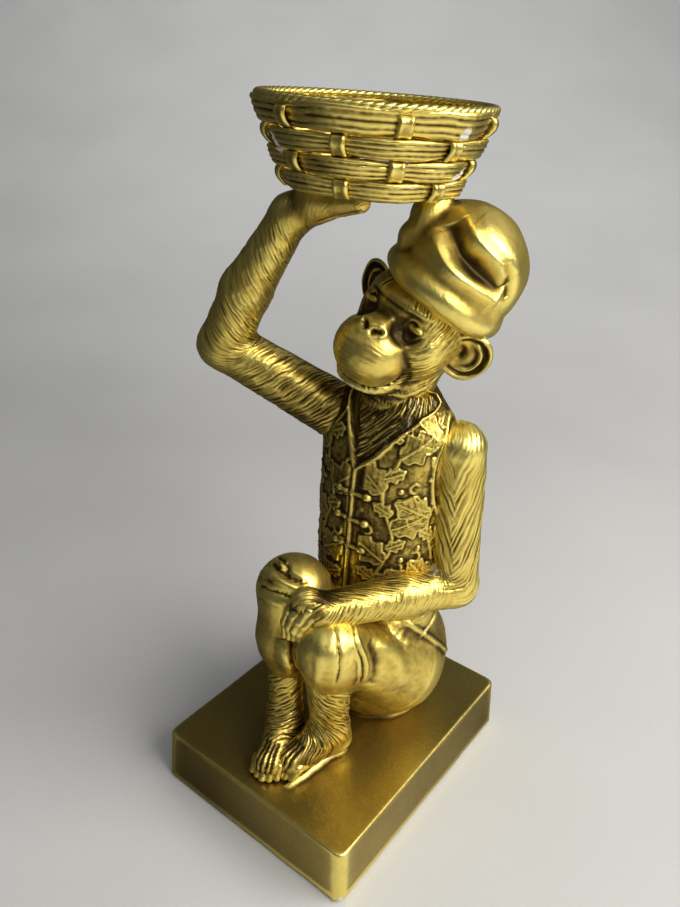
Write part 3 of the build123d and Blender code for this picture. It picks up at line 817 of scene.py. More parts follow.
@dataclass(frozen=True)
class GoldPaint:
    """Gold paint over pale resin, with a brown wash in the hollows, painted shade where the pieces add it to
    the wash mark, and rubbed ridges.

    Attributes:
        name: Name of the finish.
        ridge, lit, body, wash, pit: Colours from the rubbed ridges to the deepest hollows and the darkest
            painted shade.
        chalk: Colour of bare resin.
        metal: Share of metal in the paint.
        roughness: Roughness of the paint.
        blotch: How much the wash varies over the surface.
        grit: Height of the paint's grain, in millimetres.
    """

    name: str
    ridge: Colour = (0.95, 0.79, 0.22)
    lit: Colour = (0.86, 0.67, 0.16)
    body: Colour = (0.66, 0.49, 0.105)
    wash: Colour = (0.20, 0.138, 0.033)
    pit: Colour = (0.055, 0.036, 0.012)
    chalk: Colour = (0.74, 0.70, 0.60)
    metal: float = 0.93
    roughness: float = 0.34
    blotch: float = 0.22
    grit: float = 0.48

    def material(self) -> bpy.types.Material:
        """Build the finish.

        Returns:
            The material.
        """
        recipe = Recipe(bpy.data.materials.new(self.name))
        coarse = recipe.grain(14.0, 3.0)
        fine = recipe.grain(1.6, 3.0, 0.6)
        dust = recipe.grain(0.35, 1.0)
        # The hollow mark holds the wash and the painted shade that the pieces add.
        depth = recipe.mark("hollow") + (coarse - 0.5) * self.blotch + (fine - 0.5) * 0.2
        stops = [(0.0, self.ridge), (0.26, self.lit), (0.48, self.body), (0.74, self.wash), (1.0, self.pit)]
        paint = recipe.ramp(depth.clamped(), stops)
        edge = recipe.mark("chalk") * 2.0 + (fine - 0.5) * 1.6 - 0.72
        bare = (edge * 2.5).clamped()
        rough = self.roughness + (coarse - 0.5) * 0.16 + (dust - 0.5) * 0.14 + depth * 0.08 + bare * 0.4
        return recipe.surface({
            "Base Color": recipe.mixed(bare, paint, self.chalk),
            "Roughness": rough.clamped(),
            "Metallic": ((1 - bare) * self.metal).clamped(),
            "Normal": recipe.bump(fine * 0.75 + dust * 0.25, 0.35, self.grit),
        })


@dataclass(frozen=True)
class Speckled:
    """A finish of one fine grain, which varies its colour and roughness and bends its normals.

    Attributes:
        name: Name of the finish.
        dark, pale: Colours of the grain's low and high places.
        high: Share of the grain that is fully pale.
        grain: Size of the grain, its detail and its roughness.
        roughness: Mean roughness and how much it varies.
        bump: Strength and height of the bumps.
        metal: Share of metal.
    """

    name: str
    dark: Colour
    pale: Colour
    high: float
    grain: Point
    roughness: Pair
    bump: Pair
    metal: float = 0.0

    def material(self) -> bpy.types.Material:
        """Build the finish.

        Returns:
            The material.
        """
        recipe = Recipe(bpy.data.materials.new(self.name))
        marks = recipe.grain(*self.grain)
        return recipe.surface({
            "Base Color": recipe.ramp(marks, [(0.3, self.dark), (self.high, self.pale)]),
            "Roughness": self.roughness[0] + (marks - 0.5) * self.roughness[1],
            "Metallic": self.metal,
            "Normal": recipe.bump(marks, *self.bump),
        })


FELT = Speckled(
    "brown_felt",
    dark=(0.11, 0.09, 0.06),
    pale=(0.21, 0.17, 0.12),
    high=0.7,
    grain=(0.5, 4.0, 0.7),
    roughness=(0.86, 0.2),
    bump=(0.6, 0.4),
)
STEEL = Speckled(
    "drawn_steel",
    dark=(0.30, 0.30, 0.31),
    pale=(0.55, 0.55, 0.56),
    high=0.75,
    grain=(0.6, 3.0, 0.6),
    roughness=(0.34, 0.25),
    bump=(0.2, 0.1),
    metal=1.0,
)


@dataclass(frozen=True)
class PaleSheet:
    """The studio's pale sheet, with a faint weave, which shows darker in the gold away from the figure.

    Attributes:
        name: Name of the finish.
        dark, pale: Colours of the sheet's clouds.
        near_gold, far_gold: Colours that show in the gold, on the lit side of the edges and beyond them.
        lit_edges: Each edge's direction, where its light starts and is full, and what is left before.
    """

    name: str = "pale_sheet"
    dark: Colour = (0.65, 0.648, 0.635)
    pale: Colour = (0.73, 0.728, 0.715)
    near_gold: Colour = (0.82, 0.80, 0.74)
    far_gold: Colour = (0.06, 0.059, 0.056)
    lit_edges: Sequence[tuple[Point, float, float, float]] = (
        ((0.86, -0.51, 0.0), 8.0, 84.0, 0.06),
        ((0.51, 0.86, 0.0), -320.0, -190.0, 0.65),
        ((-0.51, -0.86, 0.0), -800.0, -430.0, 0.5),
    )

    def material(self) -> bpy.types.Material:
        """Build the finish.

        Returns:
            The material.
        """
        recipe = Recipe(bpy.data.materials.new(self.name))
        cloud = recipe.grain(180.0, 3.0)
        thread = recipe.grain(1.2, 2.0)
        colour = recipe.ramp(cloud * 0.7 + thread * 0.3, [(0.3, self.dark), (0.7, self.pale)])
        lit: Number = 1.0
        for direction, start, end, rest in self.lit_edges:
            sockets = {0: recipe.place(), 1: direction}
            run = recipe.node("ShaderNodeVectorMath", {"operation": "DOT_PRODUCT"}, sockets)
            share = (Value(recipe, run.outputs["Value"]) - start * MM) * (1 / ((end - start) * MM))
            lit = lit * (rest + (1 - rest) * share.clamped())
        in_gold = recipe.mixed(lit, self.far_gold, self.near_gold)
        colour = recipe.mixed(recipe.looked_at(Look.MIRRORED), colour, in_gold)
        weave = recipe.bump(thread, 0.15, 0.3)
        return recipe.surface({"Base Color": colour, "Roughness": 0.7, "Normal": weave})


# The figure's joints, shared by its pieces


@dataclass(frozen=True)
class Joints:
    """Middles of the joints and the turned frames of the head, cap and basket."""

    plinth_top: float = 25.0
    clearance: float = 0.02
    basket_clearance: float = 0.05
    waist: Point = (1, 18.5, 82)
    seat: Point = (2, 21.5, 50)
    right_hip: Point = (-12, 14, 52)
    left_hip: Point = (16, 14, 52)
    right_knee: Point = (-14.5, -18, 94)
    left_knee: Point = (10.5, -25, 84)
    right_ankle: Point = (-9.5, -27, 38)
    left_ankle: Point = (9, -21, 38)
    left_shoulder: Point = (28.5, 26.5, 153.5)
    left_elbow: Point = (34.8, 23, 97)
    left_wrist: Point = (6, -24, 97)
    right_shoulder: Point = (-21.5, 16.5, 157)
    right_elbow: Point = (-59.6, -6.5, 181)
    right_wrist: Point = (-28, -4, 232.8)
    palm: Point = (-17.5, -2, 238.7)
    fingertip: Point = (-2.5, -0.5, 239.7)
    neck: Point = (1, 23, 166)
    head: Point = (3, 31, 196)
    head_lean: float = 18.0
    head_turn: float = 6.6
    cap_on_head: Point = (2, 7, 24)
    cap_tip_back: float = 18.0
    basket: Point = (-7.2, 11.1, 242.27)
    basket_tilt: float = 1.9
    basket_towards: float = 37.0

    def head_axes(self) -> Array:
        """Columns: the head's left, back and up."""
        return turned(0, self.head_lean, -self.head_turn)

    def cap_axes(self) -> Array:
        """Columns: the cap's left, back and up."""
        return self.head_axes() @ turned(-self.cap_tip_back, 0, 0)

    def basket_axes(self) -> Array:
        """Columns: the basket's first bearing, second bearing and axis."""
        return turned(0, 0, self.basket_towards) @ turned(0, self.basket_tilt, 0)

    def on_head(self, x: float, y: float, z: float) -> Point:
        """A place given along the head's left, back and up."""
        return tuple(np.asarray(self.head) + self.head_axes() @ np.array([x, y, z]))

    def on_cap(self, x: float, y: float, z: float) -> Point:
        """A place given along the cap's left, back and up."""
        return tuple(np.asarray(self.on_head(*self.cap_on_head)) + self.cap_axes() @ np.array([x, y, z]))

    def below_basket(self, points: Array) -> Array:
        """How far points lie below the basket's underside."""
        return (np.asarray(self.basket) - points) @ self.basket_axes()[:, 2]

    def under_basket(self, points: Array) -> Array:
        """Hold points just below the basket's underside."""
        over = np.maximum(self.basket_clearance - self.below_basket(points), 0)
        return points - over[..., None] * self.basket_axes()[:, 2]

    def over_plinth(self, points: Array) -> Array:
        """Hold points just above the plinth."""
        low = points[..., 2:] < self.plinth_top + self.clearance
        return np.where(low & (UP > 0), self.plinth_top + self.clearance, points)

    def foot_glow(self, points: Array, reach: float) -> Array:
        """A share that falls from 1 on the plinth's top, to a third at a reach above it."""
        return np.exp(-np.maximum(points[..., 2] - self.plinth_top, 0) / reach)


JOINTS = Joints()


def between(a: Point, b: Point, share: float) -> Point:
    """The point at a share of the way from a to b."""
    return tuple(np.asarray(a, float) * (1 - share) + np.asarray(b, float) * share)


def shifted(a: Point, x: float, y: float, z: float) -> Point:
    """A point moved by an offset."""
    return (a[0] + x, a[1] + y, a[2] + z)


def drawn(rays: Rays, form: Form, reach: float, rows: int, columns: int, steps: int = 44) -> Skin:
    """Draw a form's skin where rays leave it, held over the plinth and under the basket.

    Args:
        rays: Rays from inside the form.
        form: The form.
        reach: Greatest length of a ray.
        rows, columns: Grid of the finished skin.
        steps: Even steps along the reach.

    Returns:
        The skin.
    """
    points = JOINTS.over_plinth(rays.at(rays.meet(form, reach, steps)))
    return Skin(JOINTS.under_basket(points)).finer(rows, columns)


def digit(path: Sequence[Point], form: Form, facing: Point, path_rows: int, rows: int) -> Skin:
    """Draw a finger or a toe along its path, with a facing column and so many rows before and after."""
    return drawn(limb_rays(path, facing, path_rows, 16, 5), form, 8.0, rows, 36, 24)


# Sub-assemblies


@dataclass
class Plinth:
    """The oblong block, its sides leaning in, with rubbed edges and a chipped corner.

    Attributes:
        glue: Path of the glue line beside the left foot, in X and Y.
    """

    lean: float = 1.2
    corner: float = 3.5
    edge: float = 1.2
    under: float = 0.5
    columns: int = 420
    wobble: float = 0.16
    chip: float = 2.0
    seam: float = 1.1
    lip: float = 1.5
    lip_width: float = 2.2
    glue: Sequence[Pair] = ((8.7, -44.0), (10.2, -37.1), (11.2, -28.7), (11.8, -20.9), (11.8, -14.1))
    glue_width: float = 1.3
    glue_height: float = 1.7

    def outline(self, half_width: float, half_depth: float) -> Array:
        """A rectangle with round corners, at even steps of its length, from the middle of the front."""
        quarter = np.linspace(0, math.pi / 2, 24)
        sides = []
        for k, (sx, sy) in enumerate(((1, -1), (1, 1), (-1, 1), (-1, -1))):
            angle = quarter - math.pi / 2 + k * math.pi / 2
            middle = np.array([sx * (half_width - self.corner), sy * (half_depth - self.corner)])
            sides.append(middle + self.corner * np.stack([np.cos(angle), np.sin(angle)], -1))
        loop = np.concatenate([[[0, -half_depth]], *sides, [[0, -half_depth]]])
        return even_steps(loop, self.columns + 1)[:-1]

    def profile(self, tall: float) -> Array:
        """Inset, rise and scale of the outline over the underside, sides, round edge and top."""
        arc = np.radians(np.linspace(0, 90, 9))[1:]
        sides = np.linspace(0.6, tall - self.edge, 44)
        inward = np.linspace(1, 0.02, 120)[1:]
        rounding = self.lean + self.edge * (1 - np.cos(arc))
        inset = [np.full(12, self.under), self.lean * sides / tall, rounding]
        inset.append(np.full(len(inward), self.lean + self.edge))
        rise = [np.zeros(12), sides, tall - self.edge * (1 - np.sin(arc)), np.full(len(inward), tall)]
        scale = [np.linspace(0.05, 1, 12), np.ones(len(sides) + len(arc)), inward]
        return np.stack([np.concatenate(part) for part in (inset, rise, scale)], -1)

    def build(self, feet: Form) -> Casting:
        """Carry the outline up the profile.

        Args:
            feet: What stands on the top, for the pale seam and the painted shade round it.

        Returns:
            The casting.
        """
        low, high = (np.array(corner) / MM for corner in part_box("plinth"))
        half = (high - low) / 2
        middle = (high + low) / 2
        rings = []
        for inset, rise, scale in self.profile(2 * half[2]):
            ring = self.outline(half[0] - inset, half[1] - inset) * scale
            rings.append(np.column_stack([ring + middle[:2], np.full(self.columns, low[2] + rise)]))
        skin = Skin(np.stack(rings))
        points = skin.points
        level = points[..., 2]
        side = ease(0.2, 1.0, level - low[2]) * (1 - ease(-1.5, -0.5, level - high[2]))
        wave = self.wobble * noise(points, 22.0, 3) * (0.3 + 0.7 * side) - 0.1 * side
        foot = -0.5 * np.exp(-(level - low[2]) / 2.5) * side * (0.5 + 0.5 * noise(points, 9.0, 5))
        top = np.where(level > high[2] - 0.05, 1.0, 0.0)
        gap = feet.distance(points)
        lip = self.lip * (1 - ease(0.3, self.lip_width, gap + 0.5 * noise(points, 7.0, 12))) * top
        strip = Stroke([(x, y, high[2]) for x, y in self.glue], self.glue_width, 1.0, 0.5).lift(skin) * top
        skin = skin.raised(wave + foot + np.maximum(lip, self.glue_height * strip))
        # Painted shade round the feet on the top, partly the dark seam where they meet it.
        feet_contact_shade = np.exp(-np.maximum(gap, 0) / 1.6) * top
        skin.wash_and_shade = 0.5 * feet_contact_shade + 0.1 * noise(points, 30.0, 8) - 0.7 * strip
        spot = np.exp(-gap_squared(points, (high[0], low[1], low[2] + 1.5)) / self.chip**2)
        line = bell((gap - 0.5) / self.seam) * patches(points, 6.0, 11, -0.35, 0.45) * top
        skin.chalk = 1.2 * spot + 0.62 * line
        return Casting("plinth_block", skin)


@dataclass
class Trousers:
    """Seat, thighs and knees of the trousers, with folds, side seams and a hip flap.

    Pairs of values are for the right leg and the left one.
    """

    softness: float = 6.0
    seat_softness: float = 8.0
    seat_radii: Point = (30.5, 30.5, 31)
    waist_radii: Point = (27, 22.5, 20)
    hip_radius: float = 19.0
    knee_radii: Pair = (12.4, 10.9)
    shin_starts: Pair = (21.0, 6.0)
    start_radii: Pair = (12.0, 10.5)
    cuff_lengths: Pair = (37.0, 25.0)
    cuff_radii: Pair = (7.0, 7.4)
    knee_pad: Point = (-8.5, -15.0, 99.5)
    knee_pad_radii: Point = (10.5, 8.5, 8.0)
    tuck: float = 0.35

    def legs(self) -> list[list[Cone]]:
        """Thigh, leg and the taper into the shin, right leg first."""
        runs = (
            (JOINTS.right_hip, JOINTS.right_knee, JOINTS.right_ankle),
            (JOINTS.left_hip, JOINTS.left_knee, JOINTS.left_ankle),
        )
        found = []
        for k, (hip, knee, ankle) in enumerate(runs):
            run = unit(np.subtract(ankle, knee))
            start = tuple(np.asarray(knee) + run * self.shin_starts[k])
            cuff = tuple(np.asarray(knee) + run * self.cuff_lengths[k])
            radii = (self.hip_radius, self.knee_radii[k], self.start_radii[k], self.cuff_radii[k])
            found.append(chain((hip, knee, start, cuff), radii))
        return found

    def seat(self) -> Form:
        """Seat and waist as one form."""
        waist = Egg(shifted(JOINTS.waist, 0, 0.5, -8), self.waist_radii)
        return Form([Egg(JOINTS.seat, self.seat_radii), waist], self.seat_softness)

    def whole(self) -> Form:
        """All the trousers as one form."""
        limbs = [solid for leg in self.legs() for solid in leg]
        return Form([*self.seat().solids, *limbs, Egg(self.knee_pad, self.knee_pad_radii)], self.softness)

    def piece(self, rays: Rays, own: Form, rows: int, columns: int) -> Skin:
        """Draw one part on the whole form, tucked under its neighbours where they are nearer.

        Args:
            rays: Rays from inside the part.
            own: The part's own form.
            rows, columns: Grid of the finished skin.

        Returns:
            The part's skin.
        """
        alone = rays.meet(own, 48.0)
        lengths = np.minimum(rays.meet(self.whole(), 60.0), alone + 3.0)
        points = rays.at(lengths - self.tuck * ease(0.4, 2.5, lengths - alone))
        return Skin(JOINTS.over_plinth(points)).finer(rows, columns)

    def parts(self) -> list[Skin]:
        """The seat, both thighs and both cuffs."""
        x, y, _ = JOINTS.seat
        post = [(x, y, z) for z in (27, 40, 55, 68, 80)]
        found = [self.piece(limb_rays(post, (0, -1, 0), 40, 72), self.seat(), 170, 210)]
        for thigh, leg, cuff in self.legs():
            down = [between(thigh.start, thigh.end, share) for share in (0, 0.25, 0.5, 0.75, 1.0)]
            up = [leg.start, between(leg.start, leg.end, 0.5), leg.end, between(cuff.start, cuff.end, 0.9)]
            for path, own in ((down, Form([thigh], 1.0)), (up, Form([leg, cuff], 2.0))):
                found.append(self.piece(limb_rays(path, (1, 0, 0), 30, 48), own, 110, 130))
        return found

    def flap(self) -> list[Stroke]:
        """Edges of the flap on the left hip."""
        tip, end = (27.5, 14.9, 73.5), (30.7, 28, 58)
        return [
            Stroke([(23.4, 8.9, 80.2), tip, end], 0.9, 1.2, 0.4),
            Stroke([tip, (28.5, 22, 76), (26, 31, 78)], 0.8, 1.0, 0.4),
            Stroke([end, (29, 38, 50), (24, 46, 42)], 0.7, 0.7),
        ]

    def right_knee_folds(self) -> list[Stroke]:
        """Folds over the right knee and the fold that hangs between the knees."""
        over = [(-23.3, -25.1, 101.6), (-16.7, -26.6, 104.1), (-10.2, -26.6, 103.5), (-3.3, -24.2, 101.4)]
        behind = [(-20, -22.5, 105.5), (-13.5, -24.3, 106), (-8, -24, 104.8), (-3, -21.5, 103.6)]
        below = [(-20, -29.5, 99), (-15.4, -30.3, 99.9), (-8.4, -28.6, 100), (-3.6, -25.5, 98.3)]
        return [
            Stroke(over, 1.7, 1.3, 0.3),
            Stroke(behind, 1.1, -1.2, 0.1),
            Stroke([(-19.4, -19.1, 106.8), (-13.1, -22.1, 107.5), (-10.8, -24.1, 106)], 1.0, -1.3, 0.4),
            Stroke([(-16.5, -21, 107.3), (-15.3, -22, 107)], 1.4, 1.0, 1.0),
            Stroke(below, 0.9, -0.9, 0.1),
            Stroke([(-20, -31, 96), (-15, -32, 96.5), (-9, -30.5, 96)], 1.1, 0.6),
            Stroke([(-6.7, -28.7, 79.3), (-5.9, -29.5, 73), (-4.3, -29, 66.8)], 3.0, 2.4, 0.2),
            Stroke([(-3.5, -28, 80), (-2.5, -27, 73), (-2.5, -27, 66)], 1.4, -1.6, 0.2),
        ]

    def left_knee_folds(self) -> list[Stroke]:
        """Folds over the left knee and the welted seam down its outer side."""
        knee = JOINTS.left_knee
        front = [(14.3, -26.8, 95.4), (18.4, -30.1, 91.9), (20.5, -31.3, 87)]
        front += [(20.6, -31.6, 82), (19.4, -31.6, 76)]
        first = [shifted(knee, 3, 5.4, 9), (19.5, -24.8, 89.4), (21.6, -23.4, 81.4), (20.6, -21.6, 72)]
        groove = [shifted(knee, 5, 6, 9), (20.6, -23.2, 89), (22.0, -21.6, 81), (21, -19.8, 72)]
        second = [shifted(knee, 7, 7, 9), (21.4, -21.4, 88.6), (22.3, -19.8, 80.6), (21, -18, 72)]
        return [
            Stroke(front, 0.7, -0.7, 0.2),
            Stroke([(13, -33, 91), (14, -34.5, 85), (13.5, -34, 77), (12.5, -33, 69)], 1.6, 0.6, 0.3),
            Stroke(first, 0.7, 0.9, 0.3),
            Stroke(groove, 0.6, -0.9, 0.3),
            Stroke(second, 0.7, 0.8, 0.3),
            Stroke([(24, -14, 85), (25, -14, 78), (24, -15, 68)], 2.6, -1.4),
            Stroke([(27, -8, 84), (30, -4, 76), (30, -2, 62)], 3.5, 0.9),
        ]

    def seat_folds(self) -> list[Stroke]:
        """Two folds down the back of the seat."""
        x = JOINTS.seat[0]
        return [
            Stroke([(x + side * 14, 52, 60), (x + side * 8, 54, 45), (x + side * 4, 52, 32)], 2.0, -0.9)
            for side in SIDES
        ]

    def build(self) -> Casting:
        """Draw the parts and press the folds into them.

        Returns:
            The casting.
        """
        casting = Casting("trousers_casting")
        folds = [*self.right_knee_folds(), *self.left_knee_folds(), *self.flap(), *self.seat_folds()]
        dull_spot = shifted(JOINTS.right_knee, 2, 2, 12)
        for skin in self.parts():
            skin = skin.carved(folds)
            points = skin.points
            skin = skin.raised(0.22 * noise(points, 6.0, 21) + 0.07 * noise(points, 1.8, 22))
            knee = np.exp(-gap_squared(points, dull_spot) / 190)
            # Painted shade on the sides that face the figure's right, away from the window lamp.
            inner = ease(0.1, 0.8, -skin.normals()[..., 0])
            skin.wash_and_shade = 0.12 * noise(points, 16.0, 23) + 0.08 + 0.16 * knee + 0.12 * inner
            edges = sum(stroke.lift(skin) for stroke in self.flap())
            worn = patches(points, 7.0, 24, -0.4, 0.5)
            skin.chalk = 0.8 * JOINTS.foot_glow(points, 1.5) * worn + 0.4 * edges * worn
            casting.skins.append(skin)
        return casting


@dataclass
class Leg:
    """A furry shin with its foot and long toes.

    Attributes:
        toe: End of the foot, in X and Y.
        slant: Angle of the hair, in degrees.
        groove_places: Along, across and up from the ball of the foot, for the grooves between the toes.
    """

    name: str
    knee: Point
    ankle: Point
    toe: Pair
    slant: float
    shin_radius: float
    ankle_radius: float
    heel_radius: float = 6.8
    foot_radius: float = 5.6
    softness: float = 4.0
    part: float = -0.65
    toes: int = 5
    toe_length: float = 8.8
    toe_radii: Point = (2.4, 2.1, 1.6)
    groove_places: Sequence[Point] = ((5.0, 4.8, 0.0), (1.0, 4.6, 5.0), (-3.5, 4.4, 7.0))
    coat: Coat = Coat(pitch=1.35, length=6.5, depth=0.5, wave=0.4, seed=31)

    def foot_points(self) -> tuple[Point, Point]:
        """Heel and ball of the foot, on the plinth."""
        top = JOINTS.plinth_top
        return (self.ankle[0], self.ankle[1] + 3.0, top + 6.0), (self.toe[0], self.toe[1] + 6.0, top + 5.0)

    def directions(self) -> tuple[Array, Array]:
        """Forward along the foot, and across it."""
        forward = unit(np.array([self.toe[0] - self.ankle[0], self.toe[1] - self.ankle[1], 0.0]))
        return forward, np.array([-forward[1], forward[0], 0.0])

    def form(self) -> Form:
        """Shin, ankle, heel and foot as one form."""
        heel, ball = self.foot_points()
        radii = (self.shin_radius, self.ankle_radius, self.heel_radius, self.foot_radius)
        instep = Cone(self.ankle, ball, self.ankle_radius - 1.0, self.foot_radius - 1.2)
        return Form([*chain((self.knee, self.ankle, heel, ball), radii), instep], self.softness)

    def toe_grooves(self) -> list[Stroke]:
        """Grooves that run back over the foot from the gaps between the toes."""
        ball = np.asarray(self.foot_points()[1])
        forward, across = self.directions()
        grooves = []
        for share in np.arange(1, self.toes) / (self.toes / 2) - 1:
            path = [
                ball + forward * run + across * share * wide + UP * up
                for run, wide, up in self.groove_places
            ]
            grooves.append(Stroke(path, 0.8, -0.75, 0.2))
        return grooves

    def toe_skins(self) -> list[Skin]:
        """Long toes side by side, each a bent chain of cones that ends in a round tip."""
        ball = np.asarray(self.foot_points()[1])
        top = JOINTS.plinth_top
        forward, across = self.directions()
        skins = []
        for share in np.linspace(-1, 1, self.toes):
            root = ball - forward * 3.0 + across * share * (self.foot_radius - 1.3)
            root[2] = top + 6.6 - 1.8 * share * share
            tip = root + forward * (self.toe_length - 2.4 * abs(share) ** 1.5) + across * share * 0.8
            tip[2] = top + 2.0
            knuckle = (root + tip) / 2 + UP * 1.9
            form = Form(chain((root, knuckle, tip), self.toe_radii), 1.0)
            toe = digit((root, knuckle, (knuckle + tip) / 2, tip), form, (0, 0, 1), 16, 60)
            toe = toe.raised(0.12 * noise(toe.points, 1.6, 35))
            toe.wash_and_shade = 0.42
            skins.append(toe)
        return skins

    def build(self) -> Casting:
        """Draw the shin and foot, carve the fur and add the toes.

        Returns:
            The casting.
        """
        ball = self.foot_points()[1]
        path = [
            *(between(self.knee, self.ankle, share) for share in (0.1, 0.45, 0.75)),
            shifted(self.ankle, 0, 0, 2),
            shifted(between(self.ankle, ball, 0.35), 0, 0, -3),
            between(self.ankle, ball, 0.7),
            ball,
        ]
        skin = drawn(limb_rays(path, (1, 0, 0), 64, 52), self.form(), 26.0, 230, 150)
        points = skin.points
        fall, side = limb_lengths(points, self.part)
        sole = ease(0.2, 3.0, points[..., 2] - JOINTS.plinth_top)
        front = ease(fall.max() - 15, fall.max() - 8, fall)
        fur = self.coat.height(fall, side, (self.slant, self.slant), points)
        skin = skin.raised(fur * sole * (1 - 0.8 * front)).carved(self.toe_grooves())
        skin.chalk = 0.65 * JOINTS.foot_glow(points, 1.0) * patches(points, 5.0, 33, -0.2, 0.5)
        skin.wash_and_shade = 0.26 + 0.15 * noise(points, 12.0, 34) + 0.2 * front
        return Casting(self.name, skin, *self.toe_skins())


@dataclass
class Waistcoat:
    """The torso: a waistcoat with a leaf-and-vine relief, piping and toggles, open on a furry chest.

    Attributes:
        stations: Height, middle in Y, half width and half depth up the torso.
        neck: Height, and the right and the left edge of the opening, round the torso.
        unroll: Length round the torso for one radian of bearing.
        vines: Where the vines start, round the torso.
    """

    stations: Sequence[tuple[float, float, float, float]] = (
        (76, 18.5, 24.0, 19.0),
        (82, 18.5, 25.5, 20.5),
        (95, 18.5, 26.0, 20.6),
        (118, 19.2, 26.6, 20.0),
        (140, 20.0, 27.0, 19.5),
        (152, 20.3, 26.9, 18.4),
        (160, 21.4, 26.2, 16.6),
        (166, 22.6, 22.8, 14.6),
        (172, 24.0, 17.0, 12.2),
    )
    rows: int = 264
    columns: int = 364
    unroll: float = 23.5
    neck: Sequence[Point] = (
        (145.2, -0.9, -0.9),
        (152, -3.1, 6.0),
        (158, -5.8, 10.2),
        (161, -7.6, 13.0),
        (166.5, -12.4, 21.6),
        (170, -17.0, 36.9),
    )
    hem: float = 86.0
    piping: float = 0.85
    piping_height: float = 1.0
    toggles: Sequence[float] = (135.2, 124, 112.5)
    beads: Pair = (-6.3, 4.7)
    armhole_middle: Pair = (41.0, 146.0)
    armhole_radii: Pair = (13.0, 20.0)
    vines: Sequence[float] = (-67.0, -49.0, -31.0, -12.5, 12.5, 31.0, 49.0, 67.0)
    leaf_height: float = 0.95
    chest: Coat = Coat(pitch=0.95, length=6.5, depth=0.5, wave=0.35, seed=41)

    def leaf(self, s: Array, z: Array, base: Pair, lean: float, length: float) -> Array:
        """A lobed leaf: half width as the root of a sine along it, times one plus a cosine of three lobes.

        Args:
            s, z: Place around and up the torso.
            base: Where the stalk meets the leaf.
            lean: Direction of the leaf, in degrees from straight up, towards plus s.
            length: Length of the leaf.

        Returns:
            Height of the leaf as a share.
        """
        a = math.radians(lean)
        along = ((s - base[0]) * math.sin(a) + (z - base[1]) * math.cos(a)) / length
        side = (s - base[0]) * math.cos(a) - (z - base[1]) * math.sin(a)
        p = np.clip(along, 0, 1)
        swell = np.sqrt(np.clip(np.sin(math.pi * p), 0, 1)) * (1 - 0.35 * p)
        half = 0.46 * length * swell * (1 + 0.17 * np.cos(TURN * 3 * p - 0.9))
        inside = np.where((along > 0) & (along < 1), half - np.abs(side), -1.0)
        vein = bell(side / 0.4) * (p < 0.92)
        ribs = bell(np.sin(math.pi * (p * 5 - np.abs(side) / length * 5)) / 0.35) * ease(0.2, 0.8, inside)
        rim = bell((inside - 0.8) / 0.45)
        return ease(0.0, 1.1, inside) * (0.56 + 0.44 * np.maximum(rim, vein)) - 0.08 * ribs

    def relief(self, s: Array, z: Array) -> Array:
        """Leaves in pairs along waving vines, with berries and curls between them.

        Args:
            s, z: Place around and up the torso.

        Returns:
            Height of the ornament as a share of a leaf's height.
        """
        total = np.zeros_like(s)
        for vine, start in enumerate(self.vines):
            way = 1 if vine % 2 else -1
            stem = start + 2.6 * np.sin(z / 6.2 + vine * 1.9)
            total = np.maximum(total, 0.62 * bell((s - stem) / 0.75))
            for k in range(5):
                height = 90 + 14.5 * k + 5.0 * (vine % 3)
                foot = start + 2.6 * math.sin(height / 6.2 + vine * 1.9)
                side = way if k % 2 else -way
                kind = (k + vine) % 3
                large = self.leaf(s, z, (foot, height), side * (44 + 10 * (k % 3)), 17.0 - kind)
                small = self.leaf(s, z, (foot, height + 6), -side * 62, 8.4)
                berry = (s - foot + side * 6.2) ** 2 + (z - height - 1.5) ** 2
                right, up = s - foot - side * 7.4, z - height - 12.6
                open_curl = ease(-0.9, 0.2, np.cos(np.arctan2(up, right) - 1.3 * (k + vine)))
                total = np.maximum.reduce([
                    total,
                    large * (0.82 + 0.16 * kind),
                    0.85 * small,
                    0.9 * np.sqrt(np.clip(1 - berry / 1.3, 0, 1)) * (k % 2),
                    0.6 * bell((np.hypot(right, up) - 1.9) / 0.55) * open_curl,
                ])
        return total

    def toggled(self, height: Array, s: Array, z: Array) -> Array:
        """Add the toggles to a height: a bar at each level, with a bead at both ends.

        Args:
            height: Height of the waistcoat.
            s, z: Place around and up the torso.

        Returns:
            The new height.
        """
        for level in self.toggles:
            bar = bell((z - level) / 0.75) * (np.abs(s + 0.8) < 5.5)
            height = height + 1.1 * bar * (1 - 0.5 * bell((s + 0.8) / 0.9))
            for bead in self.beads:
                gap = (s - bead) ** 2 + (z - level) ** 2
                ball = 1.9 * np.sqrt(np.clip(1 - gap / 2.6, 0, 1))
                height = np.where(gap < 2.6, np.maximum(height, ball), height)
        return height

